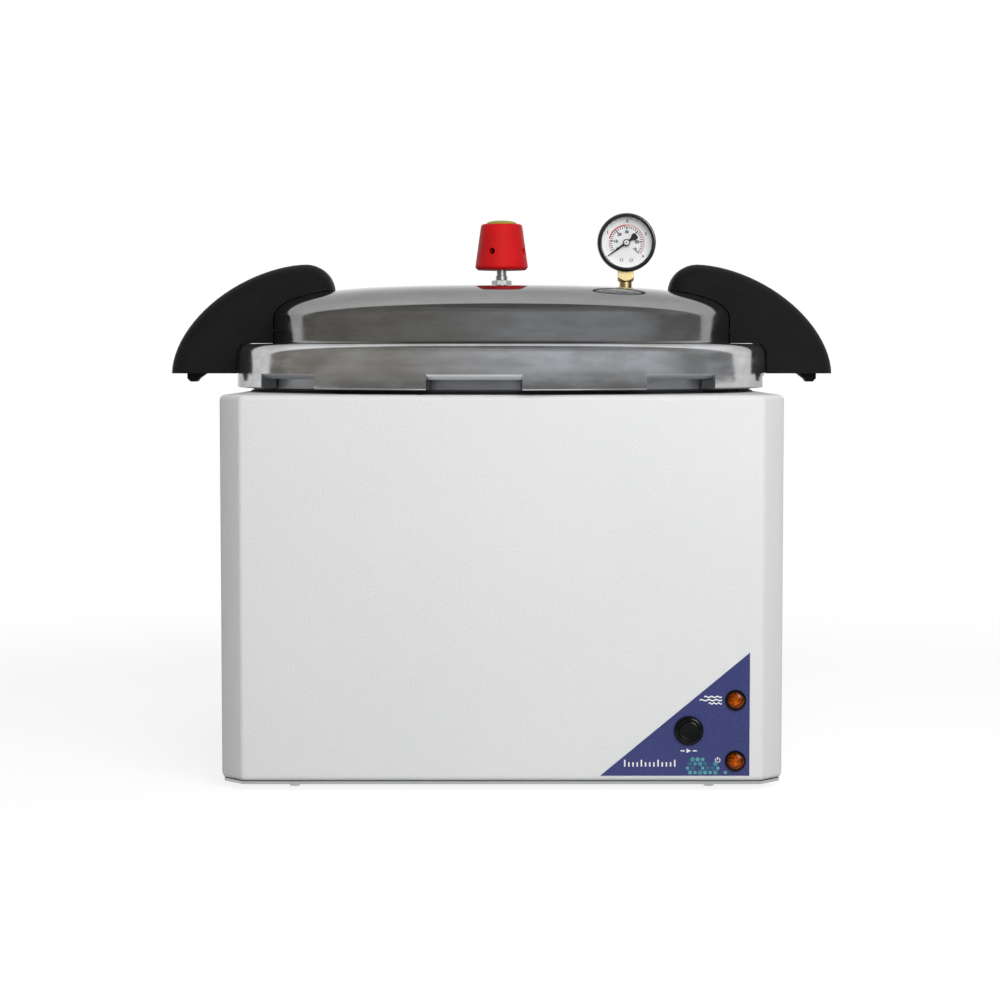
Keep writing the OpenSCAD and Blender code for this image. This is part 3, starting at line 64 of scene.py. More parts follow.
# Feet and base plate: four moulded rubber feet under a flat plate of zinc-plated steel.
# Screws hold the feet to the plate, and the plate to the return flange of the cabinet.
class Shade:
    """A node's output socket. Sums and products of such sockets add the nodes that work them out."""

    def __init__(self, socket):
        self.socket = socket

    def node(self, kind, settings, sockets, output=0):
        """Adds any node: its settings first, then the values or links of its sockets."""
        tree = self.socket.id_data
        made = tree.nodes.new(kind)
        for name, value in settings.items():
            setattr(made, name, value)
        for key, value in sockets.items():
            if isinstance(value, Shade):
                tree.links.new(value.socket, made.inputs[key])
            else:
                made.inputs[key].default_value = value
        return Shade(made.outputs[output])

    def work(self, operation, *terms, output=0):
        """Works on values with a Math node, and on vectors with a Vector Math node."""
        flat = all(not isinstance(term, Shade) or term.socket.type == "VALUE" for term in terms)
        kind = "ShaderNodeMath" if flat else "ShaderNodeVectorMath"
        if not flat:
            terms = [(term,) * 3 if isinstance(term, (int, float)) else term for term in terms]
        return self.node(kind, {"operation": operation}, dict(enumerate(terms)), output)

    def __add__(self, other):
        return self.work("ADD", self, other)

    def __radd__(self, other):
        return self.work("ADD", other, self)

    def __sub__(self, other):
        return self.work("SUBTRACT", self, other)

    def __rsub__(self, other):
        return self.work("SUBTRACT", other, self)

    def __mul__(self, other):
        return self.work("MULTIPLY", self, other)

    def __rmul__(self, other):
        return self.work("MULTIPLY", other, self)

    def __truediv__(self, other):
        return self.work("DIVIDE", self, other)

    def __pow__(self, other):
        return self.work("POWER", self, other)

    def part(self, axis):
        """One coordinate of a vector."""
        return self.node("ShaderNodeSeparateXYZ", {}, {0: self}, axis)

    def noise(self, scale, detail=2):
        """Cloudy noise from 0 to 1, with so many lumps in a metre."""
        return self.node("ShaderNodeTexNoise", {}, {"Vector": self, "Scale": scale, "Detail": detail})

    def ease(self, low, high):
        """0 below low, 1 above high and a soft step between."""
        smooth = {"interpolation_type": "SMOOTHSTEP"}
        return self.node("ShaderNodeMapRange", smooth, {"Value": self, "From Min": low, "From Max": high})

    def tint(self, low, high):
        """The colour low where this value is 0, and high where it is 1."""
        ends = [end if isinstance(end, Shade) else (*end, 1) for end in (low, high)]
        return self.node("ShaderNodeMix", {"data_type": "RGBA"}, {0: self, 6: ends[0], 7: ends[1]}, 2)

    def into(self, shader, socket):
        """Feeds a shader's socket."""
        self.socket.id_data.links.new(self.socket, shader.inputs[socket])

    def raised(self, shader, depth):
        """Raises the surface by so many metres where this value is 1."""
        bump = self.node("ShaderNodeBump", {}, {"Distance": depth, "Height": self})
        bump.into(shader, "Normal")


def finish(name, fixed):
    """A material, its shader with what is the same all over, and the place on the piece."""
    material = bpy.data.materials.new(name)
    material.use_nodes = True
    shader = material.node_tree.nodes["Principled BSDF"]
    for socket, value in fixed.items():
        shader.inputs[socket].default_value = value
    place = material.node_tree.nodes.new("ShaderNodeTexCoord")
    return material, shader, Shade(place.outputs["Object"])


def darker(colour, share):
    """A colour at a share of its brightness."""
    return tuple(share * part for part in colour)


def moulded(name, colour, roughness, grain, depth, fixed={}):
    """Plastic or rubber from a mould: an even colour, a fine pressed grain and faint rubbed patches."""
    material, shader, place = finish(name, fixed)
    patches = place.noise(70, 3)
    grains = place.noise(1 / grain, 3)
    patches.tint(darker(colour, 0.8), darker(colour, 1.2)).into(shader, "Base Color")
    (grains * 0.2 + patches * 0.1 + (roughness - 0.15)).into(shader, "Roughness")
    grains.raised(shader, depth)
    return material


def metal(name, colour, roughness, fixed={}):
    """Bare or plated metal: cloudy colour, fine drawn scratches and uneven gloss."""
    material, shader, place = finish(name, {"Metallic": 1, **fixed})
    clouds = place.noise(55, 4)
    scratches = (place * (400, 400, 3000)).noise(1, 4)
    clouds.tint(darker(colour, 0.8), darker(colour, 1.1)).into(shader, "Base Color")
    (clouds * 0.16 + scratches * 0.14 + (roughness - 0.15)).into(shader, "Roughness")
    scratches.raised(shader, 6e-6)
    return material


def alone(piece):
    """Makes a piece the only one that is selected, and the active one."""
    bpy.ops.object.select_all(action="DESELECT")
    piece.select_set(True)
    bpy.context.view_layer.objects.active = piece


def worked(piece, kind, **settings):
    """Adds a modifier with its settings and applies it."""
    alone(piece)
    modifier = piece.modifiers.new(kind.lower(), kind)
    for name, value in settings.items():
        setattr(modifier, name, value)
    bpy.ops.object.modifier_apply(modifier=modifier.name)


def smoothed(piece, degrees=35):
    """Shades a piece smooth, with creases where its faces meet at more than an angle."""
    alone(piece)
    bpy.ops.object.shade_smooth_by_angle(angle=math.radians(degrees))


def broken(piece, width, segments=2, degrees=40):
    """Breaks a piece's hard edges with a small bevel."""
    limit = math.radians(degrees)
    worked(piece, "BEVEL", width=width, segments=segments, limit_method="ANGLE", angle_limit=limit)
    smoothed(piece)
    worked(piece, "WEIGHTED_NORMAL", keep_sharp=True)


def softened(node, name, width):
    """A copy of a node's solid, its doubles merged, its flats made whole and its edges broken."""
    piece = bpy.data.objects.new(name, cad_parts[node].data.copy())
    bpy.context.collection.objects.link(piece)
    alone(piece)
    bpy.ops.mesh.customdata_custom_splitnormals_clear()
    bpy.ops.object.mode_set(mode="EDIT")
    bpy.ops.mesh.select_all(action="SELECT")
    bpy.ops.mesh.remove_doubles(threshold=2e-6)
    bpy.ops.mesh.dissolve_limited(angle_limit=math.radians(0.4))
    bpy.ops.object.mode_set(mode="OBJECT")
    broken(piece, width)
    return piece


def fit(piece, material, body, slot, *nodes):
    """Gives a finished piece its material and its body, and hides the nodes that it stands for. The slot is
    not used.
    """
    piece.data.materials.clear()
    piece.data.materials.append(material)
    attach(piece, body)
    if nodes:
        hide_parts(*nodes)


def recut(node, name, width, material, body, slot):
    """A softened copy of a node, finished, which stands for that node."""
    piece = softened(node, name, width)
    fit(piece, material, body, slot, node)
    return piece


def dress(material, *nodes):
    """Gives nodes that stay as they are a finish."""
    for node in nodes:
        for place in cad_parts[node].material_slots:
            place.material = material


rubber = moulded("black_rubber", (0.017, 0.017, 0.018), 0.6, 0.0006, 3e-5)
zinc_steel = metal("zinc_plated_steel", (0.50, 0.51, 0.52), 0.36)
recut("feet", "rubber_feet", 0.0004, rubber, "cabinet", "rubber_black")
recut("base_plate", "bottom_plate", 0.0003, zinc_steel, "cabinet", "base_steel")
dress(zinc_steel, "base_screws")


# Cabinet: one sheet of steel bent into a box, with facets at its two front corners.
# It is powder coated in a leathery off-white, and open at the top, the rear and the bottom.
def begin(name, add, **size):
    """Adds a primitive with nothing else selected, and names it."""
    bpy.ops.object.select_all(action="DESELECT")
    add(**size)
    piece = bpy.context.object
    piece.name = name
    piece.data.name = name
    return piece


def block(name, low, high):
    """A box between two corners, with its place in its mesh."""
    low, high = Vector(low), Vector(high)
    add = bpy.ops.mesh.primitive_cube_add
    piece = begin(name, add, size=1, location=(low + high) / 2, scale=high - low)
    bpy.ops.object.transform_apply(location=True, rotation=True, scale=True)
    return piece


def pick(piece, kind, wanted):
    """Selects in edit mode the vertices, edges or faces that are wanted, and nothing else."""
    bpy.ops.mesh.select_mode(type=kind)
    bpy.ops.mesh.select_all(action="DESELECT")
    mesh = bmesh.from_edit_mesh(piece.data)
    for part in {"VERT": mesh.verts, "EDGE": mesh.edges, "FACE": mesh.faces}[kind]:
        if wanted(part):
            part.select_set(True)
    mesh.select_flush_mode()
    bmesh.update_edit_mesh(piece.data)


def carve(piece, cutter):
    """Cuts a piece with a closed shape, which is then thrown away."""
    worked(piece, "BOOLEAN", object=cutter, operation="DIFFERENCE", solver="MANIFOLD")
    bpy.data.objects.remove(cutter)


def drill(piece, radius, place, direction, length):
    """Bores a round hole through a piece."""
    turn = Vector(direction).to_track_quat("Z", "Y").to_euler()
    add = bpy.ops.mesh.primitive_cylinder_add
    size = {"vertices": 64, "radius": radius, "depth": length}
    carve(piece, begin("drill", add, location=place, rotation=turn, **size))


def upright(edge):
    """Whether an edge stands straight up."""
    return abs(edge.verts[0].co.z - edge.verts[1].co.z) > 0.01


sheet = 0.0015
front_facet = 0.015
bend, upright_share = 0.004, 0.45
return_flange = 0.016
rear_frame = 0.018
pot_opening = 0.157
case_low, case_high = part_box("cabinet_shell")
lid_foot = case_high.z

case = block("cabinet_case", case_low, case_high)
bpy.ops.object.mode_set(mode="EDIT")
pick(case, "EDGE", lambda edge: upright(edge) and edge.verts[0].co.y < 0)
bpy.ops.mesh.bevel(offset=front_facet, segments=1, affect="EDGES")
pick(case, "EDGE", upright)
bpy.ops.transform.edge_bevelweight(value=upright_share)
pick(case, "EDGE", lambda edge: not upright(edge))
bpy.ops.transform.edge_bevelweight(value=1)
bpy.ops.object.mode_set(mode="OBJECT")
worked(case, "BEVEL", width=bend, segments=6, limit_method="WEIGHT")
worked(case, "SOLIDIFY", thickness=sheet, offset=-1)
past = Vector((0, 0, 0.005))
inset = Vector((return_flange, return_flange, 0))
carve(case, block("cutter", case_low + inset - past, (*(case_high - inset).xy, case_low.z + past.z)))
rear_low = (case_low.x + rear_frame, case_high.y - past.z, case_low.z + rear_frame)
rear_high = (case_high.x - rear_frame, case_high.y + past.z, case_high.z - rear_frame)
carve(case, block("cutter", rear_low, rear_high))
drill(case, pot_opening, (0, 0, lid_foot), (0, 0, 1), 0.01)
smoothed(case, 30)

coat, shader, place = finish("powder_coat", {"Specular IOR Level": 0.4})
leather = place.noise(620, 2)
pebbles = place.noise(1500, 2)
clouds = place.noise(9, 2)
clouds.tint((0.775, 0.785, 0.785), (0.815, 0.82, 0.815)).into(shader, "Base Color")
(leather * 0.25 + 0.3).into(shader, "Roughness")
(leather * 0.75 + pebbles * 0.25).raised(shader, 0.00034)
fit(case, coat, "cabinet", "cabinet_paint", "cabinet_shell")


# Rear panel: a flat sheet with two rows of cooling slots, coated like the cabinet, held by pan-head screws.
# A black moulded mains inlet with three brass blades sits in its lower corner.
def drawn(name, points):
    """A chain of edges through points, left open in edit mode."""
    piece = begin(name, bpy.ops.mesh.primitive_plane_add, size=0.001)
    bpy.ops.object.mode_set(mode="EDIT")
    bpy.ops.mesh.select_mode(type="VERT")
    bpy.ops.mesh.select_all(action="SELECT")
    bpy.ops.mesh.merge(type="CENTER")
    bpy.ops.transform.translate(value=points[0])
    for here, there in zip(points, points[1:]):
        step = Vector(there) - Vector(here)
        bpy.ops.mesh.extrude_region_move(TRANSFORM_OT_translate={"value": step})
    return piece


def tidied():
    """Merges the doubles of the mesh in edit mode, turns its faces outwards and leaves edit mode."""
    bpy.ops.mesh.select_all(action="SELECT")
    bpy.ops.mesh.remove_doubles(threshold=1e-6)
    bpy.ops.mesh.normals_make_consistent(inside=False)
    bpy.ops.object.mode_set(mode="OBJECT")


def turned(name, outline, steps=96, crease=30):
    """A piece from the lathe: an outline of (radius, height) points, spun round the upright axis."""
    piece = drawn(name, [(radius, 0, height) for radius, height in outline])
    bpy.ops.mesh.select_all(action="SELECT")
    bpy.ops.mesh.spin(steps=steps, angle=math.tau, center=(0, 0, 0), axis=(0, 0, 1))
    tidied()
    smoothed(piece, crease)
    return piece


def eased(corners, steps=5):
    """The outline through corners (x, y, radius), each turned into an arc of its radius."""
    points = []
    for index, (x, y, radius) in enumerate(corners):
        here = Vector((x, y))
        if radius == 0:
            points.append(here)
            continue
        back = (Vector(corners[index - 1][:2]) - here).normalized()
        ahead = (Vector(corners[(index + 1) % len(corners)][:2]) - here).normalized()
        half = back.angle(ahead) / 2
        centre = here + (back + ahead).normalized() * radius / math.sin(half)
        start = here + back * radius / math.tan(half) - centre
        end = here + ahead * radius / math.tan(half) - centre
        sweep = math.pi - 2 * half
        for step in range(steps + 1):
            share = step / steps
            arm = start * math.sin((1 - share) * sweep) + end * math.sin(share * sweep)
            points.append(centre + arm / math.sin(sweep))
    return points


def placed(piece, place, turn=(0, 0, 0)):
    """Turns a piece and moves it to its place, in its mesh."""
    alone(piece)
    piece.rotation_euler = turn
    piece.location = place
    bpy.ops.object.transform_apply(location=True, rotation=True, scale=True)
    return piece


def gathered(name, pieces):
    """Joins pieces into one mesh."""
    alone(pieces[0])
    for piece in pieces:
        piece.select_set(True)
    bpy.ops.object.join()
    pieces[0].name = name
    pieces[0].data.name = name
    return pieces[0]


def repeated(piece, name, places):
    """One piece at the origin, copied to all its places and joined."""
    copies = [piece]
    for place in places[1:]:
        copy = bpy.data.objects.new(name, piece.data.copy())
        bpy.context.collection.objects.link(copy)
        copies.append(placed(copy, place))
    placed(piece, places[0])
    return gathered(name, copies)


to_front = (math.pi / 2, 0, 0)
to_rear = (-math.pi / 2, 0, 0)
electric_black = moulded("inlet_plastic", (0.014, 0.014, 0.015), 0.42, 0.0008, 2e-5)
brass = metal("brass", (0.66, 0.53, 0.27), 0.30)
recut("rear_panel", "rear_cover", 0.0003, coat, "cabinet", "cabinet_paint")
recut("mains_inlet", "mains_socket", 0.0005, electric_black, "cabinet", "electric_black")
recut("inlet_pins", "socket_blades", 0.0003, brass, "cabinet", "brass")

head_r, head_h, head_round = 0.0028, 0.0018, 0.0011
shaft_r, shaft_len = 0.0015, 0.007
pan_head = eased([(0, head_h, 0), (head_r, head_h, head_round), (head_r, 0, 0.0001), (shaft_r, 0, 0),
                  (shaft_r, -shaft_len, 0), (0, -shaft_len, 0)])
rear_screw = turned("rear_screw", pan_head, 32)
slot_half, slot_reach, slot_depth = 0.0004, 0.0015, 0.0009
for wide, long in ((slot_half, slot_reach), (slot_reach, slot_half)):
    carve(rear_screw, block("cutter", (-wide, -long, head_h - slot_depth), (wide, long, head_h + 0.001)))
smoothed(rear_screw)
placed(rear_screw, (0, 0, 0), to_rear)
panel_low, panel_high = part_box("rear_panel")
lap, inlet_screw_x = 0.005, 0.02
edge_x = panel_high.x - lap
edge_low, edge_high = panel_low.z + 2 * lap, panel_high.z - 2 * lap
heights = (edge_low, (edge_low + edge_high) / 2, edge_high)
screw_places = [(side * edge_x, panel_high.y, height) for side in (-1, 1) for height in heights]
screw_places += [(0, panel_high.y, panel_low.z + lap), (0, panel_high.y, panel_high.z - lap)]
inlet_low, inlet_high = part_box("mains_inlet")
inlet_mid = (inlet_low + inlet_high) / 2
screw_places += [(inlet_mid.x + side * inlet_screw_x, inlet_high.y, inlet_mid.z) for side in (-1, 1)]
rear_screws = repeated(rear_screw, "rear_screw_set", screw_places)
fit(rear_screws, zinc_steel, "cabinet", "zinc_steel", "rear_panel_screws")

# Pot and bayonet collar: a drawn stainless pot hangs in a cast aluminium collar with eight lugs.
# A black rubber ring seats the collar on the cabinet's top, and six screws clamp it from below.
pot_steel = metal("pot_steel", (0.56, 0.555, 0.54), 0.24)
cast_aluminium = metal("cast_aluminium", (0.50, 0.515, 0.54), 0.42)
recut("chamber_pot", "steam_pot", 0.0003, pot_steel, "cabinet", "pot_steel")
recut("bayonet_collar", "lug_collar", 0.0005, cast_aluminium, "cabinet", "collar_aluminium")
recut("seat_ring", "rubber_seat", 0.0002, rubber, "cabinet", "rubber_black")
recut("chamber_trivet", "steam_trivet", 0.0002, pot_steel, "cabinet", "pot_steel")
dress(zinc_steel, "collar_screws")


# Heater and electrics in the cabinet: a cast plate with its element under the pot, a fibre sleeve round it,
# and a board, a transformer and a terminal block on the base plate. They show only through the slots.
def fibre(name, colour):
    """Needled mineral wool: tangled pale fibres with deep shadows between."""
    material, shader, place = finish(name, {"Roughness": 0.95})
    strands = (place * (900, 900, 160)).noise(1, 5)
    strands.tint(darker(colour, 0.45), colour).into(shader, "Base Color")
    strands.raised(shader, 0.0012)
    return material


def laminate(name, colour, trace):
    """A lacquered circuit board with copper tracks under the green."""
    material, shader, place = finish(name, {"Roughness": 0.3, "Coat Weight": 0.5})
    tracks = (place * (1, 0.4, 1)).noise(260, 0).ease(0.5, 0.53)
    tracks.tint(colour, trace).into(shader, "Base Color")
    tracks.raised(shader, 4e-5)
    return material


dark_steel = metal("dark_steel", (0.22, 0.21, 0.20), 0.45)
terminal_white = moulded("terminal_white", (0.68, 0.67, 0.63), 0.45, 0.0008, 2e-5)
dress(cast_aluminium, "heater_plate")
dress(dark_steel, "heater_element", "transformer")
dress(zinc_steel, "tie_spacers", "heat_shield", "tie_rod", "tie_nut", "board_standoffs")
dress(electric_black, "thermostat", "power_relay", "start_switch", "button_nut", "lamp_nuts")
dress(fibre("mineral_wool", (0.62, 0.58, 0.48)), "insulation_sleeve")
dress(laminate("circuit_board", (0.012, 0.11, 0.045), (0.05, 0.22, 0.08)), "control_board")
dress(terminal_white, "terminal_block")


# Panel film: a blue printed triangle in the lower right corner of the front, stuck on the coat.
# White signs stand beside the button and the lamps, over a scatter of teal dots along its foot.
def plate(name, outline, low, high):
    """A flat piece cut to an outline of (x, y) points, from one height to another."""
    loop = [(x, y, low) for x, y in outline]
    piece = drawn(name, loop + loop[:1])
    bpy.ops.mesh.select_all(action="SELECT")
    bpy.ops.mesh.remove_doubles(threshold=1e-6)
    bpy.ops.mesh.edge_face_add()
    bpy.ops.mesh.extrude_region_move(TRANSFORM_OT_translate={"value": (0, 0, high - low)})
    tidied()
    return piece


def band(centre, inner, outer, start, end):
    """The outline of part of a ring, between two angles that count clockwise from the top."""
    steps = max(1, round(abs(end - start) / 4))
    angles = [math.radians(start + (end - start) * step / steps) for step in range(steps + 1)]
    outside = [(centre[0] + outer * math.sin(a), centre[1] + outer * math.cos(a)) for a in angles]
    inside = [(centre[0] + inner * math.sin(a), centre[1] + inner * math.cos(a)) for a in angles]
    return outside + inside[::-1]


def bar(left, low, width, height):
    """The outline of a rectangle."""
    return [(left, low), (left + width, low), (left + width, low + height), (left, low + height)]


def wave(left, low, length, swing, width, turns):
    """The outline of a wavy stripe."""
    steps = 8 * turns
    crest = [swing * math.sin(math.tau * turns * step / steps) for step in range(steps + 1)]
    top = [(left + length * step / steps, low + crest[step] + width / 2) for step in range(steps + 1)]
    foot = [(left + length * step / steps, low + crest[step] - width / 2) for step in range(steps + 1)]
    return top + foot[::-1]


def printed(name, outlines, face):
    """Thick ink in the shape of several outlines, on a surface that faces the front."""
    marks = [plate(name, outline, 0, ink_thickness) for outline in outlines]
    return placed(gathered(name, marks), (0, face, 0), to_front)


ink_thickness = 0.00004
film, shader, place = finish("panel_film", {"Roughness": 0.42, "Specular IOR Level": 0.35})
speckle = place.noise(1300, 2).ease(0.25, 0.75)
clouds = place.noise(30, 2)
(speckle * 0.6 + clouds * 0.4).tint((0.030, 0.036, 0.135), (0.052, 0.062, 0.205)).into(shader, "Base Color")
speckle.raised(shader, 1.5e-5)
dress(film, "panel_overlay")

film_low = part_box("panel_overlay")[0]
button_low, button_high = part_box("button_cap")
button_mid = (button_low + button_high) / 2
lamp_mids = {}
for level in ("upper", "lower"):
    lens_low, lens_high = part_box(f"lamp_{level}_lens")
    lamp_mids[level] = (lens_low + lens_high) / 2
lamp_x = lamp_mids["upper"].x
sign_y = button_mid.z - 0.0138
dash, stroke = 0.0028, 0.0008
arrow_back, arrow_tip = button_mid.x - 0.0014, button_mid.x + 0.0016
start_sign = [
    [(arrow_back, sign_y - 0.0015), (arrow_tip, sign_y), (arrow_back, sign_y + 0.0015)],
    bar(button_mid.x - 0.0054, sign_y - stroke / 2, dash, stroke),
    bar(button_mid.x + 0.0027, sign_y - stroke / 2, dash, stroke),
]
steam_len, steam_pitch, steam_swing, steam_wide = 0.0150, 0.0022, 0.0004, 0.0009
steam_left, steam_low = lamp_x - 0.0242, lamp_mids["upper"].z - steam_pitch
steam_sign = [
    wave(steam_left + shift, steam_low + row * steam_pitch, steam_len - shift, steam_swing, steam_wide, 3)
    for row, shift in enumerate((0.006, 0, 0.003))
]
power_mid = (lamp_x - 0.0118, lamp_mids["lower"].z + 0.0006)
power_in, power_out, power_bar, power_wide = 0.0013, 0.0018, 0.0021, 0.0006
power_sign = [band(power_mid, power_in, power_out, 35, 325)]
power_sign.append(bar(power_mid[0] - power_wide / 2, power_mid[1], power_wide, power_bar))
scale_left, scale_low = film_low.x + 0.0160, film_low.z + 0.0062
scale_pitch, scale_wide, scale_long, scale_short = 0.0028, 0.0010, 0.0046, 0.0030
scale_sign = [
    bar(scale_left + step * scale_pitch, scale_low, scale_wide, scale_short if step % 4 else scale_long)
    for step in range(13)
]
white_ink = moulded("white_ink", (0.84, 0.85, 0.86), 0.45, 0.0005, 5e-6)
signs = printed("panel_signs", start_sign + steam_sign + power_sign + scale_sign, film_low.y)
fit(signs, white_ink, "cabinet", "overlay_blue")

teal_inks = [(0.055, 0.26, 0.29), (0.10, 0.36, 0.38), (0.030, 0.13, 0.19)]
dot_pitch = 0.0034
dot_left, dot_low = film_low.x + 0.0570, film_low.z + 0.0022
dots = [[], [], []]
for row, count in enumerate((9, 7, 6, 3)):
    for column in range(count):
        middle = (dot_left + (column + 0.5 * row) * dot_pitch, dot_low + row * dot_pitch * 0.87)
        size = dot_pitch * (0.44 - 0.05 * ((column + 2 * row) % 3))
        if (3 * column + row) % 7:
            dots[(column * column + row) % 3].append(band(middle, 0.0001, size, 0, 356))
for number, colour in enumerate(teal_inks):
    ink = moulded(f"teal_ink_{number}", colour, 0.45, 0.0005, 5e-6)
    patch = printed(f"panel_dots_{number}", dots[number], film_low.y)
    fit(patch, ink, "cabinet", "overlay_blue")

# Start button: a turned black plastic ring with a threaded barrel through the panel, and a dished cap.
# The cap slides in the ring on a spring, and closes a switch behind the panel.
dull = {"Specular IOR Level": 0.25}
satin = {"Specular IOR Level": 0.14}
button_black = moulded("button_black", (0.002, 0.0024, 0.003), 0.26, 0.004, 2e-6, satin)
ring_rise = film_low.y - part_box("button_bezel")[0].y
cap_r, bore_r, ring_r, barrel_r = 0.00675, 0.00685, 0.00985, 0.008
bore_depth, pin_hole_r = 0.0125, 0.0025
barrel_back = film_low.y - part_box("button_bezel")[1].y
ring_outline = eased([
    (ring_r, 0, 0.0003), (ring_r, ring_rise * 0.55, 0.0012), (ring_r - 0.0016, ring_rise, 0.0010),
    (bore_r, ring_rise, 0.0004), (bore_r, -bore_depth, 0), (pin_hole_r, -bore_depth, 0),
    (pin_hole_r, barrel_back, 0),
    (barrel_r, barrel_back, 0.0004), (barrel_r, 0, 0)])
ring = turned("button_ring", ring_outline + ring_outline[:1], 96)
placed(ring, (button_mid.x, film_low.y, button_mid.z), to_front)
fit(ring, button_black, "cabinet", "button_black", "button_bezel")
cap_rise = film_low.y - button_low.y
cap_back = film_low.y - button_high.y
plunger_r, cap_depth = 0.0024, 0.010
cap_outline = eased([
    (0, cap_rise - 0.0005, 0), (cap_r * 0.72, cap_rise - 0.0004, 0.002), (cap_r - 0.0009, cap_rise, 0.0005),
    (cap_r, cap_rise - 0.0008, 0.0005), (cap_r, cap_rise - cap_depth, 0.0003),
    (plunger_r, cap_rise - cap_depth, 0), (plunger_r, cap_back, 0), (0, cap_back, 0)])
cap = placed(turned("button_face", cap_outline, 96), (button_mid.x, film_low.y, button_mid.z), to_front)
fit(cap, button_black, "button", "button_black", "button_cap")
spring = recut("button_spring", "return_spring", 0.00004, zinc_steel, "cabinet", "zinc_steel")
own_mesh(spring)


# Pilot lamps: two black bezels, each with a pressed amber lens that has rings and small facets inside.
# Their barrels pass through the panel and are held by nuts behind it.
def amber(name, middle):
    """Opaque amber lens with a painted glow: bright at the middle, dark at the rim, broken up by rings and
    prism facets.
    """
    gloss = {"Roughness": 0.3, "Specular IOR Level": 0, "Coat Weight": 0.2, "Coat Roughness": 0.08}
    material, shader, place = finish(name, gloss)
    centred = place.node("ShaderNodeMapping", {}, {"Vector": place, "Location": -middle})
    flat = centred * (1, 0, 1)
    radius = flat.work("LENGTH", flat, output=1)
    facets = flat.node("ShaderNodeTexVoronoi", {}, {"Vector": flat, "Scale": 1000}, "Color").part(0)
    rings = (radius * 4200).work("SINE", radius * 4200) * 0.5 + 0.5
    # glow is painted light through the lens, and depth mixes it with the lens's own rings and facets.
    glow = 1 - radius.ease(0.0006, 0.0058)
    depth = (glow * 0.7 + 0.22) * (facets * 1.15 + rings * 0.25)
    depth.tint((0.012, 0.0022, 0.0001), (0.70, 0.125, 0.0002)).into(shader, "Base Color")
    rings.raised(shader, 0.00006)
    return material


lens_r, bezel_r, bezel_rise, stalk_r = 0.0058, 0.007, 0.002, 0.0046
lens_seat = bezel_rise - 0.0012
lens_rise = film_low.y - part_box("lamp_upper_lens")[0].y - bezel_rise
lamp_back = film_low.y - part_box("lamp_upper_body")[1].y
for level, middle in lamp_mids.items():
    spot = (middle.x, film_low.y, middle.z)
    bezel_outline = eased([
        (0, lens_seat, 0), (lens_r + 0.0001, lens_seat, 0), (lens_r + 0.0001, bezel_rise, 0.0002),
        (bezel_r, bezel_rise, 0.0007), (bezel_r, 0, 0), (stalk_r, 0, 0), (stalk_r, lamp_back, 0),
        (0, lamp_back, 0)])
    bezel = placed(turned(f"lamp_bezel_{level}", bezel_outline, 72), spot, to_front)
    fit(bezel, button_black, "cabinet", "electric_black", f"lamp_{level}_body")
    dome = [(lens_r * math.cos(math.radians(angle)), bezel_rise + lens_rise * math.sin(math.radians(angle)))
            for angle in range(0, 91, 6)]
    lens = turned(f"lamp_lens_{level}", [(0, lens_seat), (lens_r, lens_seat)] + dome, 72)
    placed(lens, spot, to_front)
    fit(lens, amber(f"amber_lens_{level}", Vector(spot)), "cabinet", "lamp_amber", f"lamp_{level}_lens")

# Lid: a heavy pressed dome of aluminium with a stepped rim, turned and polished, with gaps in its foot.
# Its lugs turn under those of the collar, and a silicone gasket seals it on the pot's flange.
rim_r, rim_fillet = 0.196, 0.0077
dome_r, dome_wall = 0.169, 0.004
crown_h, crown_power = 0.0226, 4.8
rim_foot = lid_foot + 0.003
ledge = rim_foot + 0.0317
wall_top = ledge + 0.0193
ledge_low = ledge - 0.0047
lug_r, lug_h = 0.184, 0.0065
rim_bore = 0.1912
stem_hole, gauge_hole, plug_hole = 0.0041, 0.0049, 0.0061
rim_lean, through = 0.0009, 0.08


def crown(radius, low, rise, hole):
    """Points of the dome's crown, from its upright wall to a hole at the axis."""
    radii = [radius * math.cos(math.radians(angle)) ** (2 / crown_power) for angle in range(0, 64, 3)]
    edge = radii[-1]
    radii += [edge * (1 - step / 20) + hole * step / 20 for step in range(1, 21)]
    return [(r, low + rise * math.sqrt(1 - (r / radius) ** crown_power)) for r in radii]


outside = crown(dome_r, wall_top, crown_h, stem_hole)
inside = crown(dome_r - dome_wall, wall_top - dome_wall, crown_h, stem_hole)[::-1]
lip_r, lip_low = dome_r - dome_wall + 0.0025, ledge_low - 0.004
lid_corners = [(lug_r, rim_foot, 0.0006), (rim_r, rim_foot, 0.0012)]
lid_corners += [(rim_r - rim_lean, ledge, rim_fillet), (dome_r, ledge, 0.0022)]
lid_corners += [(r, z, 0) for r, z in outside + inside]
lid_corners += [(dome_r - dome_wall, lip_low, 0.0004), (lip_r, lip_low, 0.0004), (lip_r, ledge_low, 0.0003)]
lid_corners += [(rim_bore, ledge_low, 0.001), (rim_bore, rim_foot + lug_h, 0.0003)]
lid_corners.append((lug_r, rim_foot + lug_h, 0.0006))
lid_outline = eased(lid_corners, 8)
lid = turned("polished_lid", lid_outline + lid_outline[:1], 240)
placed(lid, (0, 0, 0), (0, 0, math.radians(0.75)))

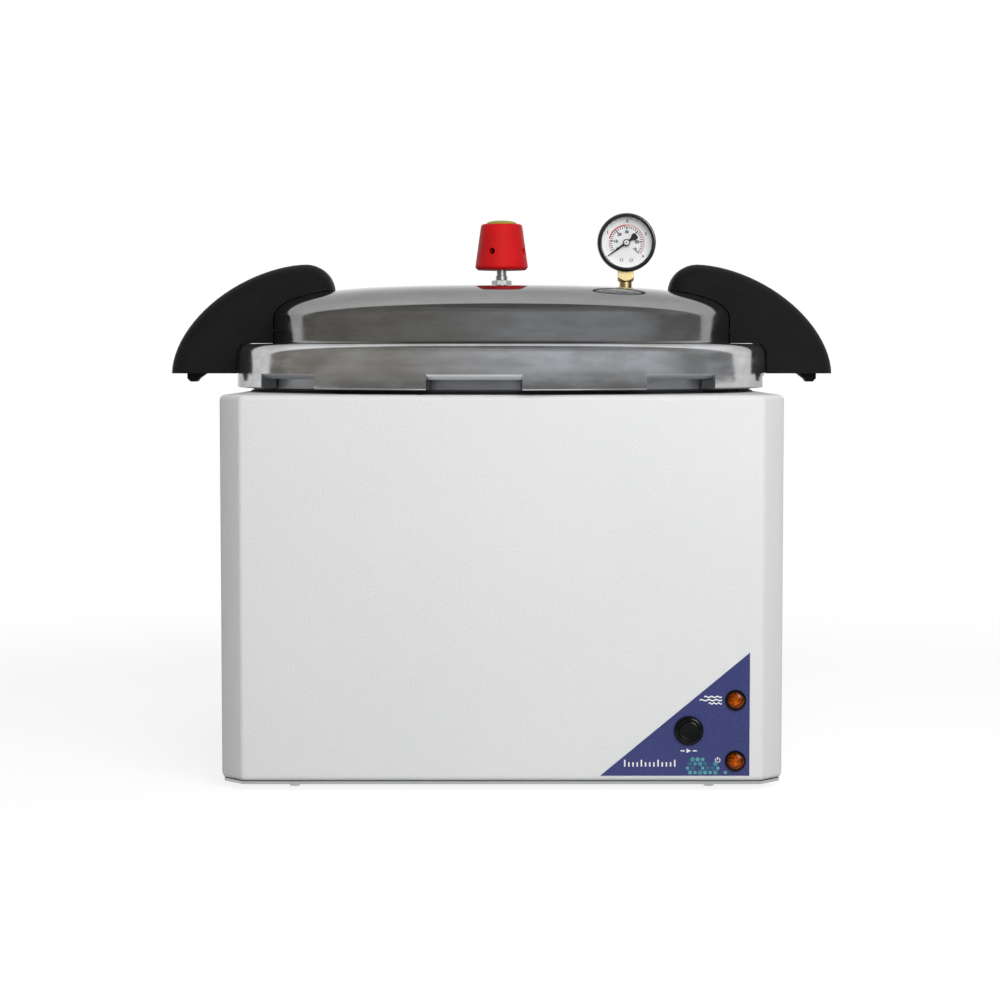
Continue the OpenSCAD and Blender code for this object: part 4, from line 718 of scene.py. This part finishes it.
notch_count, notch_width, notch_front = 8, 19, -95.5
notch_top, slope_foot, slope_rise = rim_foot + 0.007, rim_r - 0.0028, 0.0097
near, far, under = 0.180, 0.200, rim_foot - 0.005
notch = [(near, 0, under), (far, 0, under), (far, 0, notch_top + slope_rise), (slope_foot, 0, notch_top),
         (near, 0, notch_top)]
cutters = []
for number in range(notch_count):
    cutter = drawn("notch", notch + notch[:1])
    bpy.ops.mesh.select_all(action="SELECT")
    bpy.ops.mesh.remove_doubles(threshold=1e-6)
    bpy.ops.mesh.edge_face_add()
    bpy.ops.mesh.spin(steps=12, angle=math.radians(notch_width), center=(0, 0, 0), axis=(0, 0, 1))
    bpy.ops.mesh.fill_holes(sides=0)
    tidied()
    turn = notch_front + notch_width / 2 + number * 360 / notch_count
    cutters.append(placed(cutter, (0, 0, 0), (0, 0, math.radians(turn))))
carve(lid, gathered("notches", cutters))
gauge_mid = (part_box("gauge_lens")[0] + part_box("gauge_lens")[1]) / 2
drill(lid, gauge_hole, (gauge_mid.x, 0, wall_top), (0, 0, 1), through)
plug_low, plug_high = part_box("safety_plug")
drill(lid, plug_hole, (0, (plug_low.y + plug_high.y) / 2, wall_top), (0, 0, 1), through)
smoothed(lid, 30)

dim_edge = (0.55, 0.55, 0.55, 1)
polish, shader, place = finish("polished_aluminium", {"Metallic": 0.92, "Specular Tint": dim_edge})
plan = place * (1, 1, 0)
radius = plan.work("LENGTH", plan, output=1)
round_way = plan.work("NORMALIZE", plan)
run = place.part(2) + radius
along = round_way * 1.6 + run.node("ShaderNodeCombineXYZ", {}, {2: run * 500})
turning = along.noise(1, 2)
mottle = (place * (1, 1, 3)).noise(34, 4).ease(0.30, 0.70)
fine = place.noise(420, 2)
height = place.part(2)
on_rim = 1 - height.ease(ledge - 0.003, ledge + 0.0005)
on_crown = height.ease(wall_top, wall_top + 0.007)
# The same metal gets three tones. The rim's is painted about twice as bright as the wall's and crown's, and
# a little blue: a painted reflection.
wall_tone = mottle.tint((0.27, 0.265, 0.255), (0.34, 0.345, 0.35))
rim_painted_sheen = mottle.tint((0.53, 0.53, 0.525), (0.70, 0.71, 0.73))
crown_tone = mottle.tint((0.305, 0.305, 0.30), (0.345, 0.35, 0.355))
# Painted shade: the notches, and the lugs and bore inside the rim's foot, get a dark grey tone and more
# roughness.
notch_shade = 1 - radius.ease(rim_r - 0.0008, rim_r - 0.0004)
notch_shade = notch_shade * (1 - height.ease(notch_top, notch_top + 0.005))
tone = notch_shade.tint(on_rim.tint(on_crown.tint(wall_tone, crown_tone), rim_painted_sheen), (0.30, 0.31, 0.325))
(tone * (turning * 0.16 + fine * 0.10 + 0.87)).into(shader, "Base Color")
uneven = turning * 0.08 + mottle * (0.08 - on_crown * 0.05) + fine * 0.03
(uneven - on_crown * 0.02 + notch_shade * 0.25 + 0.02).into(shader, "Roughness")
(turning * 0.4 + mottle * 0.5 + fine * 0.1).raised(shader, 4e-6)
fit(lid, polish, "lid", "lid_aluminium", "lid")

silicone = moulded("white_silicone", (0.70, 0.69, 0.64), 0.5, 0.0006, 1e-5)
recut("lid_gasket", "silicone_gasket", 0.0002, silicone, "seal", "gasket_silicone")


# Handles: two solid mouldings of black phenolic that follow the dome and the step of the rim.
# Screws from inside the dome hold each of them in brass inserts, and a stop stud stands under each.
def handle_outline(side):
    """The handle seen from the front: a swept back, a round tip over the dome and a foot to be cut off."""
    points = [(outer_x, handle_low - 0.03)]
    for step in range(25):
        angle = math.radians(90 * step / 24)
        across, up = math.cos(angle) ** (2 / handle_power), math.sin(angle) ** (2 / handle_power)
        slope = Vector((math.cos(angle) ** (2 - 2 / handle_power) / core_len,
                        math.sin(angle) ** (2 - 2 / handle_power) / core_h)).normalized()
        points.append((crest_x + core_len * across + handle_round * slope.x,
                       handle_low + core_h * up + handle_round * slope.y))
    for step in range(1, 12):
        angle = math.radians(90 + 10 * step)
        points.append((crest_x + tip_r * math.cos(angle), handle_top - tip_r + tip_r * math.sin(angle)))
    last_x, last_z = points[-1]
    points.append((last_x - (last_z - handle_low + 0.03) * math.tan(math.pi - angle), handle_low - 0.03))
    return [(side * x, z) for x, z in points]


outer_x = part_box("handle_right")[1].x
crest_x = outer_x - 0.1003
handle_low = rim_foot + 0.010
handle_top = handle_low + 0.0805
handle_round = 0.014
handle_half = 0.022
handle_power = 1.7
tip_r = 0.0205
core_len = outer_x - crest_x - handle_round
core_h = handle_top - handle_low - handle_round
lid_gap = 0.0007
matt = {"Specular IOR Level": 0.07}
phenolic = moulded("black_phenolic", (0.014, 0.014, 0.0145), 0.55, 0.0008, 1.6e-4, matt)
for side, end in ((-1, "left"), (1, "right")):
    grip = plate(f"grip_{end}", handle_outline(side), -handle_half, handle_half)
    bpy.ops.object.mode_set(mode="EDIT")
    pick(grip, "EDGE", lambda edge: abs(edge.verts[0].co.z - edge.verts[1].co.z) < 1e-6)
    bpy.ops.mesh.bevel(offset=handle_round, segments=10, affect="EDGES", clamp_overlap=False)
    bpy.ops.mesh.select_all(action="SELECT")
    bpy.ops.mesh.bisect(plane_co=(0, handle_low, 0), plane_no=(0, 1, 0), use_fill=True, clear_inner=True)
    tidied()
    placed(grip, (0, 0, 0), to_front)
    dome = crown(dome_r + lid_gap, wall_top, crown_h + lid_gap, 0)
    reach, shelf = rim_r + lid_gap, ledge + lid_gap
    fillet = [(reach, rim_foot - 0.01, 0), (reach, shelf, rim_fillet), (dome_r + lid_gap, shelf, 0.0015)]
    hollow = [(0, rim_foot - 0.01, 0)] + fillet + [(r, z, 0) for r, z in dome]
    carve(grip, turned("cutter", eased(hollow, 8), 180))
    broken(grip, 0.0007, 2, 55)
    fit(grip, phenolic, "lid", "handle_phenolic", f"handle_{end}")
recut("handle_stops", "stop_studs", 0.0007, phenolic, "lid", "handle_phenolic")
dress(brass, "handle_inserts")
dress(zinc_steel, "handle_screws")

# Valve stem and weight: a plated steam outlet held by two nuts, and a loose weight that sits on it.
# The weight has a steel core in a red moulded shell with four vents, and a yellow-green cap.
plated = metal("nickel_plate", (0.56, 0.56, 0.55), 0.28)
recut("valve_stem", "steam_outlet", 0.0003, plated, "lid", "stem_chrome")
recut("valve_nuts", "outlet_nuts", 0.0006, plated, "lid", "stem_chrome")
dress(dark_steel, "weight_core")

weight_low, weight_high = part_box("weight_shell")
cap_low, cap_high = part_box("weight_cap")
foot_r, belly_r, brim_r, shell_bore, mouth_r = 0.01775, 0.01965, 0.01515, 0.0119, 0.0077
shell_floor = 0.001
jacket_outline = eased([
    (mouth_r, weight_low.z, 0), (foot_r, weight_low.z, 0.0008), (belly_r, weight_low.z + 0.002, 0.0012),
    (brim_r, weight_high.z, 0.0021), (shell_bore, weight_high.z, 0.0005),
    (shell_bore, weight_low.z + shell_floor, 0), (mouth_r, weight_low.z + shell_floor, 0)])
jacket = turned("weight_jacket", jacket_outline + jacket_outline[:1], 128)
vent_r, vent_rise, vent_count, vent_front = 0.0025, 0.0135, 4, math.radians(-114)
for number in range(vent_count):
    angle = vent_front + number * math.tau / vent_count
    way = Vector((math.cos(angle), math.sin(angle), 0))
    drill(jacket, vent_r, way * belly_r + Vector((0, 0, weight_low.z + vent_rise)), way, 0.02)
smoothed(jacket, 35)
red = moulded("red_moulding", (0.70, 0.010, 0.013), 0.5, 0.0009, 1.6e-4, dull)
fit(jacket, red, "weight", "weight_red", "weight_shell")
dome_foot = weight_high.z - 0.0002
top_outline = [(0, cap_low.z), (cap_high.x, cap_low.z)]
for angle in range(0, 91, 6):
    across, up = math.cos(math.radians(angle)) ** 0.7, math.sin(math.radians(angle))
    top_outline.append((cap_high.x * across, dome_foot + (cap_high.z - dome_foot) * up))
weight_top = turned("weight_button", top_outline, 96, 50)
green = moulded("green_moulding", (0.33, 0.37, 0.015), 0.5, 0.0009, 6e-5)
fit(weight_top, green, "weight", "cap_green", "weight_cap")

# Pressure gauge: a black steel case with a rolled ring, a glass and a printed dial, on a brass shank.
# The shank screws through the lid, and a pressure tube and a small movement turn the pointer.
gauge_black = moulded("gauge_black", (0.006, 0.0065, 0.007), 0.24, 0.0012, 1e-5, {"Coat Weight": 0.3})
ring_low, ring_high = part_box("gauge_bezel")
gauge_x, gauge_z = gauge_mid.x, gauge_mid.z
ring_r, view_r, ring_d = (ring_high.x - ring_low.x) / 2, 0.0185, ring_high.y - ring_low.y
case_r, lip = 0.0205, 0.0012
ring_outline = eased([
    (view_r, -lip, 0), (view_r + 0.0006, 0, 0.0004), (ring_r - 0.0011, 0, 0.0006),
    (ring_r - 0.0002, -0.0013, 0.0006), (ring_r, -0.0034, 0.0004), (ring_r - 0.0006, -0.0039, 0.0003),
    (ring_r - 0.0006, -0.0048, 0.0003),
    (ring_r, -0.0053, 0.0004), (ring_r, -ring_d, 0.0006), (case_r, -ring_d, 0), (case_r, -lip, 0)])
gauge_ring = turned("gauge_ring", ring_outline + ring_outline[:1], 144)
placed(gauge_ring, (gauge_x, ring_low.y, gauge_z), to_front)
fit(gauge_ring, gauge_black, "lid", "gauge_black", "gauge_bezel")
recut("gauge_case", "gauge_cup", 0.0006, gauge_black, "lid", "gauge_black")
shank = softened("gauge_socket", "brass_shank", 0.0003)
shank_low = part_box("gauge_socket")[0]
neck_r, square_low, square_r = 0.0047, ring_low.z - 0.0066, 0.0080
neck_cut = [
    (neck_r, shank_low.z - 0.001), (neck_r, square_low - 0.0006), (square_r - 0.0025, square_low),
    (square_r, square_low + 0.0028), (0.012, square_low + 0.005), (0.012, shank_low.z - 0.001)]
carve(shank, placed(turned("cutter", neck_cut + neck_cut[:1]), (gauge_x, 0, 0)))
smoothed(shank, 30)
worked(shank, "WEIGHTED_NORMAL", keep_sharp=True)
fit(shank, brass, "lid", "brass", "gauge_socket")
dress(brass, "gauge_lock_nut", "gauge_movement", "bourdon_tube")

enamel, shader, place = finish("dial_enamel", {"Specular IOR Level": 0.3})
flecks = place.noise(1800, 2)
flecks.tint((0.92, 0.925, 0.93), (0.95, 0.955, 0.96)).into(shader, "Base Color")
(flecks * 0.2 + 0.35).into(shader, "Roughness")
dress(enamel, "gauge_dial")
dial_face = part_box("gauge_dial")[0].y
pane_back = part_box("gauge_lens")[1].y
spacer_d = dial_face - pane_back
spacer_in, spacer_out = 0.01865, 0.01905
spacer_outline = [(spacer_in, 0), (spacer_out, 0), (spacer_out, spacer_d), (spacer_in, spacer_d)]
spacer_outline.append(spacer_outline[0])
spacer = placed(turned("dial_spacer", spacer_outline), (gauge_x, dial_face, gauge_z), to_front)
fit(spacer, enamel, "lid", "dial_white")

glass = bpy.data.materials.new("gauge_glass")
glass.use_nodes = True
tree = glass.node_tree
tree.nodes.clear()
clear = Shade(tree.nodes.new("ShaderNodeBsdfTransparent").outputs[0])
gloss = clear.node("ShaderNodeBsdfGlossy", {}, {"Roughness": 0.02})
facing = clear.node("ShaderNodeLayerWeight", {}, {}, "Facing")
edge_gloss = facing ** 5 * 0.6 + 0.025
pane = clear.node("ShaderNodeMixShader", {}, {0: edge_gloss, 1: clear, 2: gloss})
pane.into(tree.nodes.new("ShaderNodeOutputMaterial"), "Surface")
dress(glass, "gauge_lens")

zero, sweep = -125.6, 255
tick_out, tick_short, tick_long, tick_half = 0.0122, 0.0106, 0.0097, math.degrees(0.00033 / 0.0115)
dial_screw_x, dial_screw_y, dial_slot = 0.0036, -0.0128, 0.0014
marks = []
for step in range(31):
    angle = zero + sweep * step / 30
    inner = tick_short if step % 5 else tick_long
    half = tick_half * (1 if step % 5 else 1.4)
    marks.append(band((0, 0), inner, tick_out, angle - half, angle + half))
dial_screws = [band((side * dial_screw_x, dial_screw_y), 0.0009, 0.0013, 10, 350) for side in (-1, 1)]
for side in (-1, 1):
    dial_screws.append(bar(side * dial_screw_x - dial_slot / 2, dial_screw_y - 0.0001, dial_slot, 0.0002))
black_ink = moulded("black_ink", (0.012, 0.012, 0.013), 0.5, 0.0005, 4e-6)
numerals = []
figures = [(10 * step, step / 6, 0.0079, 0.0030) for step in range(7)]
figures += [(step, step / 4, 0.0158, 0.0026) for step in range(1, 5)]
for number, share, radius, size in figures:
    angle = math.radians(zero + sweep * share)
    bpy.ops.object.select_all(action="DESELECT")
    bpy.ops.object.text_add()
    numeral = bpy.context.object
    numeral.data.body = str(number)
    numeral.data.size = size
    numeral.data.align_x = "CENTER"
    numeral.data.align_y = "CENTER"
    numeral.data.extrude = ink_thickness / 2
    numeral.data.offset = 0.00016
    bpy.ops.object.convert(target="MESH")
    spot = (radius * math.sin(angle), radius * math.cos(angle), ink_thickness / 2)
    numerals.append(placed(numeral, spot))
black_marks = [plate("mark", outline, 0, ink_thickness) for outline in marks + dial_screws]
black_print = gathered("dial_scale", black_marks + numerals)
placed(black_print, (gauge_x, dial_face, gauge_z), to_front)
fit(black_print, black_ink, "lid", "dial_white")

red_ink = moulded("red_ink", (0.62, 0.03, 0.035), 0.5, 0.0005, 4e-6)
arcs = [band((0, 0), 0.0124, 0.0134, -76, 0)]
arcs += [band((0, 0), 0.0125, 0.0136, angle, angle + 1.9) for angle in range(2, 128, 4)]
arcs += [band((0, 0), 0.0126, 0.0129, -122, -80)]
red_marks = [plate("mark", outline, 0, ink_thickness) for outline in arcs]
red_print = placed(gathered("dial_red_arc", red_marks), (gauge_x, dial_face, gauge_z), to_front)
fit(red_print, red_ink, "lid", "dial_white")

needle_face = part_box("gauge_pointer")[0].y + 0.0007
needle_len, needle_tail = 0.017, 0.0093
hub_r, hub_half, arbor_r, arbor_len, hub_cap_r, pin_r = 0.0026, 0.0006, 0.00075, 0.011, 0.0019, 0.0006
needle_side = [(0.0003, needle_len), (0.0009, 0), (0.0008, -0.0045), (0.0022, -0.0062), (0.0024, -0.0080),
               (0.0018, -needle_tail)]
needle = plate("gauge_needle", [(-x, y) for x, y in needle_side[::-1]] + needle_side, -0.0005, 0)
placed(needle, (0, 0, 0), (0, 0, math.radians(-zero)))
placed(needle, (gauge_x, needle_face, gauge_z), to_front)
hub_outline = eased([(0, hub_half, 0), (hub_r, hub_half, 0.0002), (hub_r, -hub_half, 0), (0, -hub_half, 0)])
hub = turned("needle_hub", hub_outline, 48)
placed(hub, (gauge_x, needle_face, gauge_z), to_front)
arbor = turned("needle_arbor", [(0, 0), (arbor_r, 0), (arbor_r, -arbor_len), (0, -arbor_len)], 24)
placed(arbor, (gauge_x, needle_face, gauge_z), to_front)
pointer_black = moulded("pointer_black", (0.006, 0.006, 0.007), 0.4, 0.0008, 4e-6)
needle = gathered("gauge_needle", [needle, hub, arbor])
fit(needle, pointer_black, "pointer", "pointer_black", "gauge_pointer")
cap_outline = eased([(0, 0.0009, 0), (hub_cap_r, 0.0009, 0.0002), (hub_cap_r, 0.0004, 0), (0, 0.0004, 0)])
hub_cap = turned("needle_cap", cap_outline, 48)
placed(hub_cap, (gauge_x, needle_face, gauge_z), to_front)
fit(hub_cap, white_ink, "pointer", "dial_white")
pin_outline = eased([(0, 0.0012, 0), (pin_r, 0.0012, 0.0002), (pin_r, hub_half, 0), (0, hub_half, 0)])
hub_pin = turned("needle_pin", pin_outline, 32)
placed(hub_pin, (gauge_x, needle_face, gauge_z), to_front)
fit(hub_pin, brass, "pointer", "brass")

# Safety plug: a black silicone plug pressed through a hole at the back of the crown.
# It blows out if the weight valve sticks.
recut("safety_plug", "silicone_plug", 0.0005, rubber, "lid", "rubber_black")

# Floor and studio: a pale sweep under and behind the object, and a darker room on the camera's side.
# A large soft lamp stands at the right of the camera, one behind it and one at the rear. Two more give only
# the small bright metal, the lenses and the button their highlights.
bpy.ops.object.select_all(action="DESELECT")
bpy.ops.mesh.primitive_plane_add(size=30)
floor = bpy.context.object
floor.name = "studio_floor"
paper = bpy.data.materials.new("white_paper")
paper.use_nodes = True
tree = paper.node_tree
tree.nodes.clear()
path = tree.nodes.new("ShaderNodeLightPath").outputs
spot = Shade(tree.nodes.new("ShaderNodeTexCoord").outputs["Object"])
behind = spot.part(1).ease(-0.9, -0.2) * 0.85 + 0.15
seen = Shade(path["Is Glossy Ray"]) * behind
seen = seen + Shade(path["Is Camera Ray"]) + Shade(path["Is Transmission Ray"])
far_off = spot.work("LENGTH", spot, output=1).ease(0.5, 1.1)
paper_grey, paper_lift = 0.35, 0.78
ground = seen.node("ShaderNodeBsdfDiffuse", {}, {"Color": (paper_grey, paper_grey, paper_grey, 1)})
lift = seen.node("ShaderNodeEmission", {}, {"Strength": seen * paper_lift})
white = seen.node("ShaderNodeEmission", {}, {"Strength": seen})
near_by = seen.node("ShaderNodeAddShader", {}, {0: ground, 1: lift})
whole = seen.node("ShaderNodeMixShader", {}, {0: far_off, 1: near_by, 2: white})
whole.into(tree.nodes.new("ShaderNodeOutputMaterial"), "Surface")
floor.data.materials.append(paper)

small_metal = ("steam_outlet", "outlet_nuts", "brass_shank")
small_gloss = ("button_ring", "button_face", "gauge_ring", "lamp_lens_upper", "lamp_lens_lower")
lamps = [
    ("key", (0.42, -1.35, 0.85), 16, 1.2, ()),
    ("fill", (-0.2, -2.6, 0.6), 12.5, 1.6, ()),
    ("rear", (0.6, 2.6, 0.7), 20, 1.6, ()),
    ("sparkle", (0.42, -1.45, 0.5), 6, 1, small_metal),
    ("glint", (0.9, -0.9, 0.9), 45, 0.8, small_gloss),
]
for name, place, watts, size, pieces in lamps:
    bpy.ops.object.light_add(type="AREA", location=place)
    lamp = bpy.context.object
    lamp.name = name
    lamp.data.energy = watts
    lamp.data.size = size
    lamp.rotation_euler = (Vector(place) - Vector((0, 0, 0.25))).to_track_quat("Z", "Y").to_euler()
    lamp.visible_glossy = len(pieces) > 0
    lamp.visible_diffuse = not lamp.visible_glossy
    if pieces:
        lit = bpy.data.collections.new(f"{name}_pieces")
        for piece in pieces:
            lit.objects.link(bpy.data.objects[piece])
        lamp.light_linking.receiver_collection = lit

world = bpy.data.worlds.new("studio")
bpy.context.scene.world = world
world.use_nodes = True
tree = world.node_tree
sky = tree.nodes["Background"]
path = tree.nodes.new("ShaderNodeLightPath").outputs
way = Shade(tree.nodes.new("ShaderNodeTexCoord").outputs["Generated"])
ahead = way.part(1)
up = way.part(2)
patches = way.noise(2.2, 2).ease(0.35, 0.65)
sideways = way.part(0).ease(-0.8, 0.4)
room = sideways.tint((0.23, 0.215, 0.19), (0.27, 0.275, 0.285))
mirror = patches.tint(room * 0.75, room * 1.15)
glow = up.ease(0.012, 0.06) * (1 - up.ease(0.30, 0.70)) * (0 - ahead).ease(0.0, 0.4)
mirror = glow.tint(mirror, sideways.tint((0.29, 0.28, 0.265), (0.46, 0.475, 0.50)))
mirror = up.ease(0.80, 0.95).tint(mirror, (0.12, 0.12, 0.12))
mirror = (ahead + up * 0.36).ease(0.46, 0.51).tint(mirror, (1, 1, 1))
reflected = Shade(path["Is Glossy Ray"]).tint((0.26, 0.26, 0.26), mirror)
backdrop = (Shade(path["Is Camera Ray"]) + Shade(path["Is Transmission Ray"])).tint(reflected, (1, 1, 1))
backdrop.into(sky, "Color")
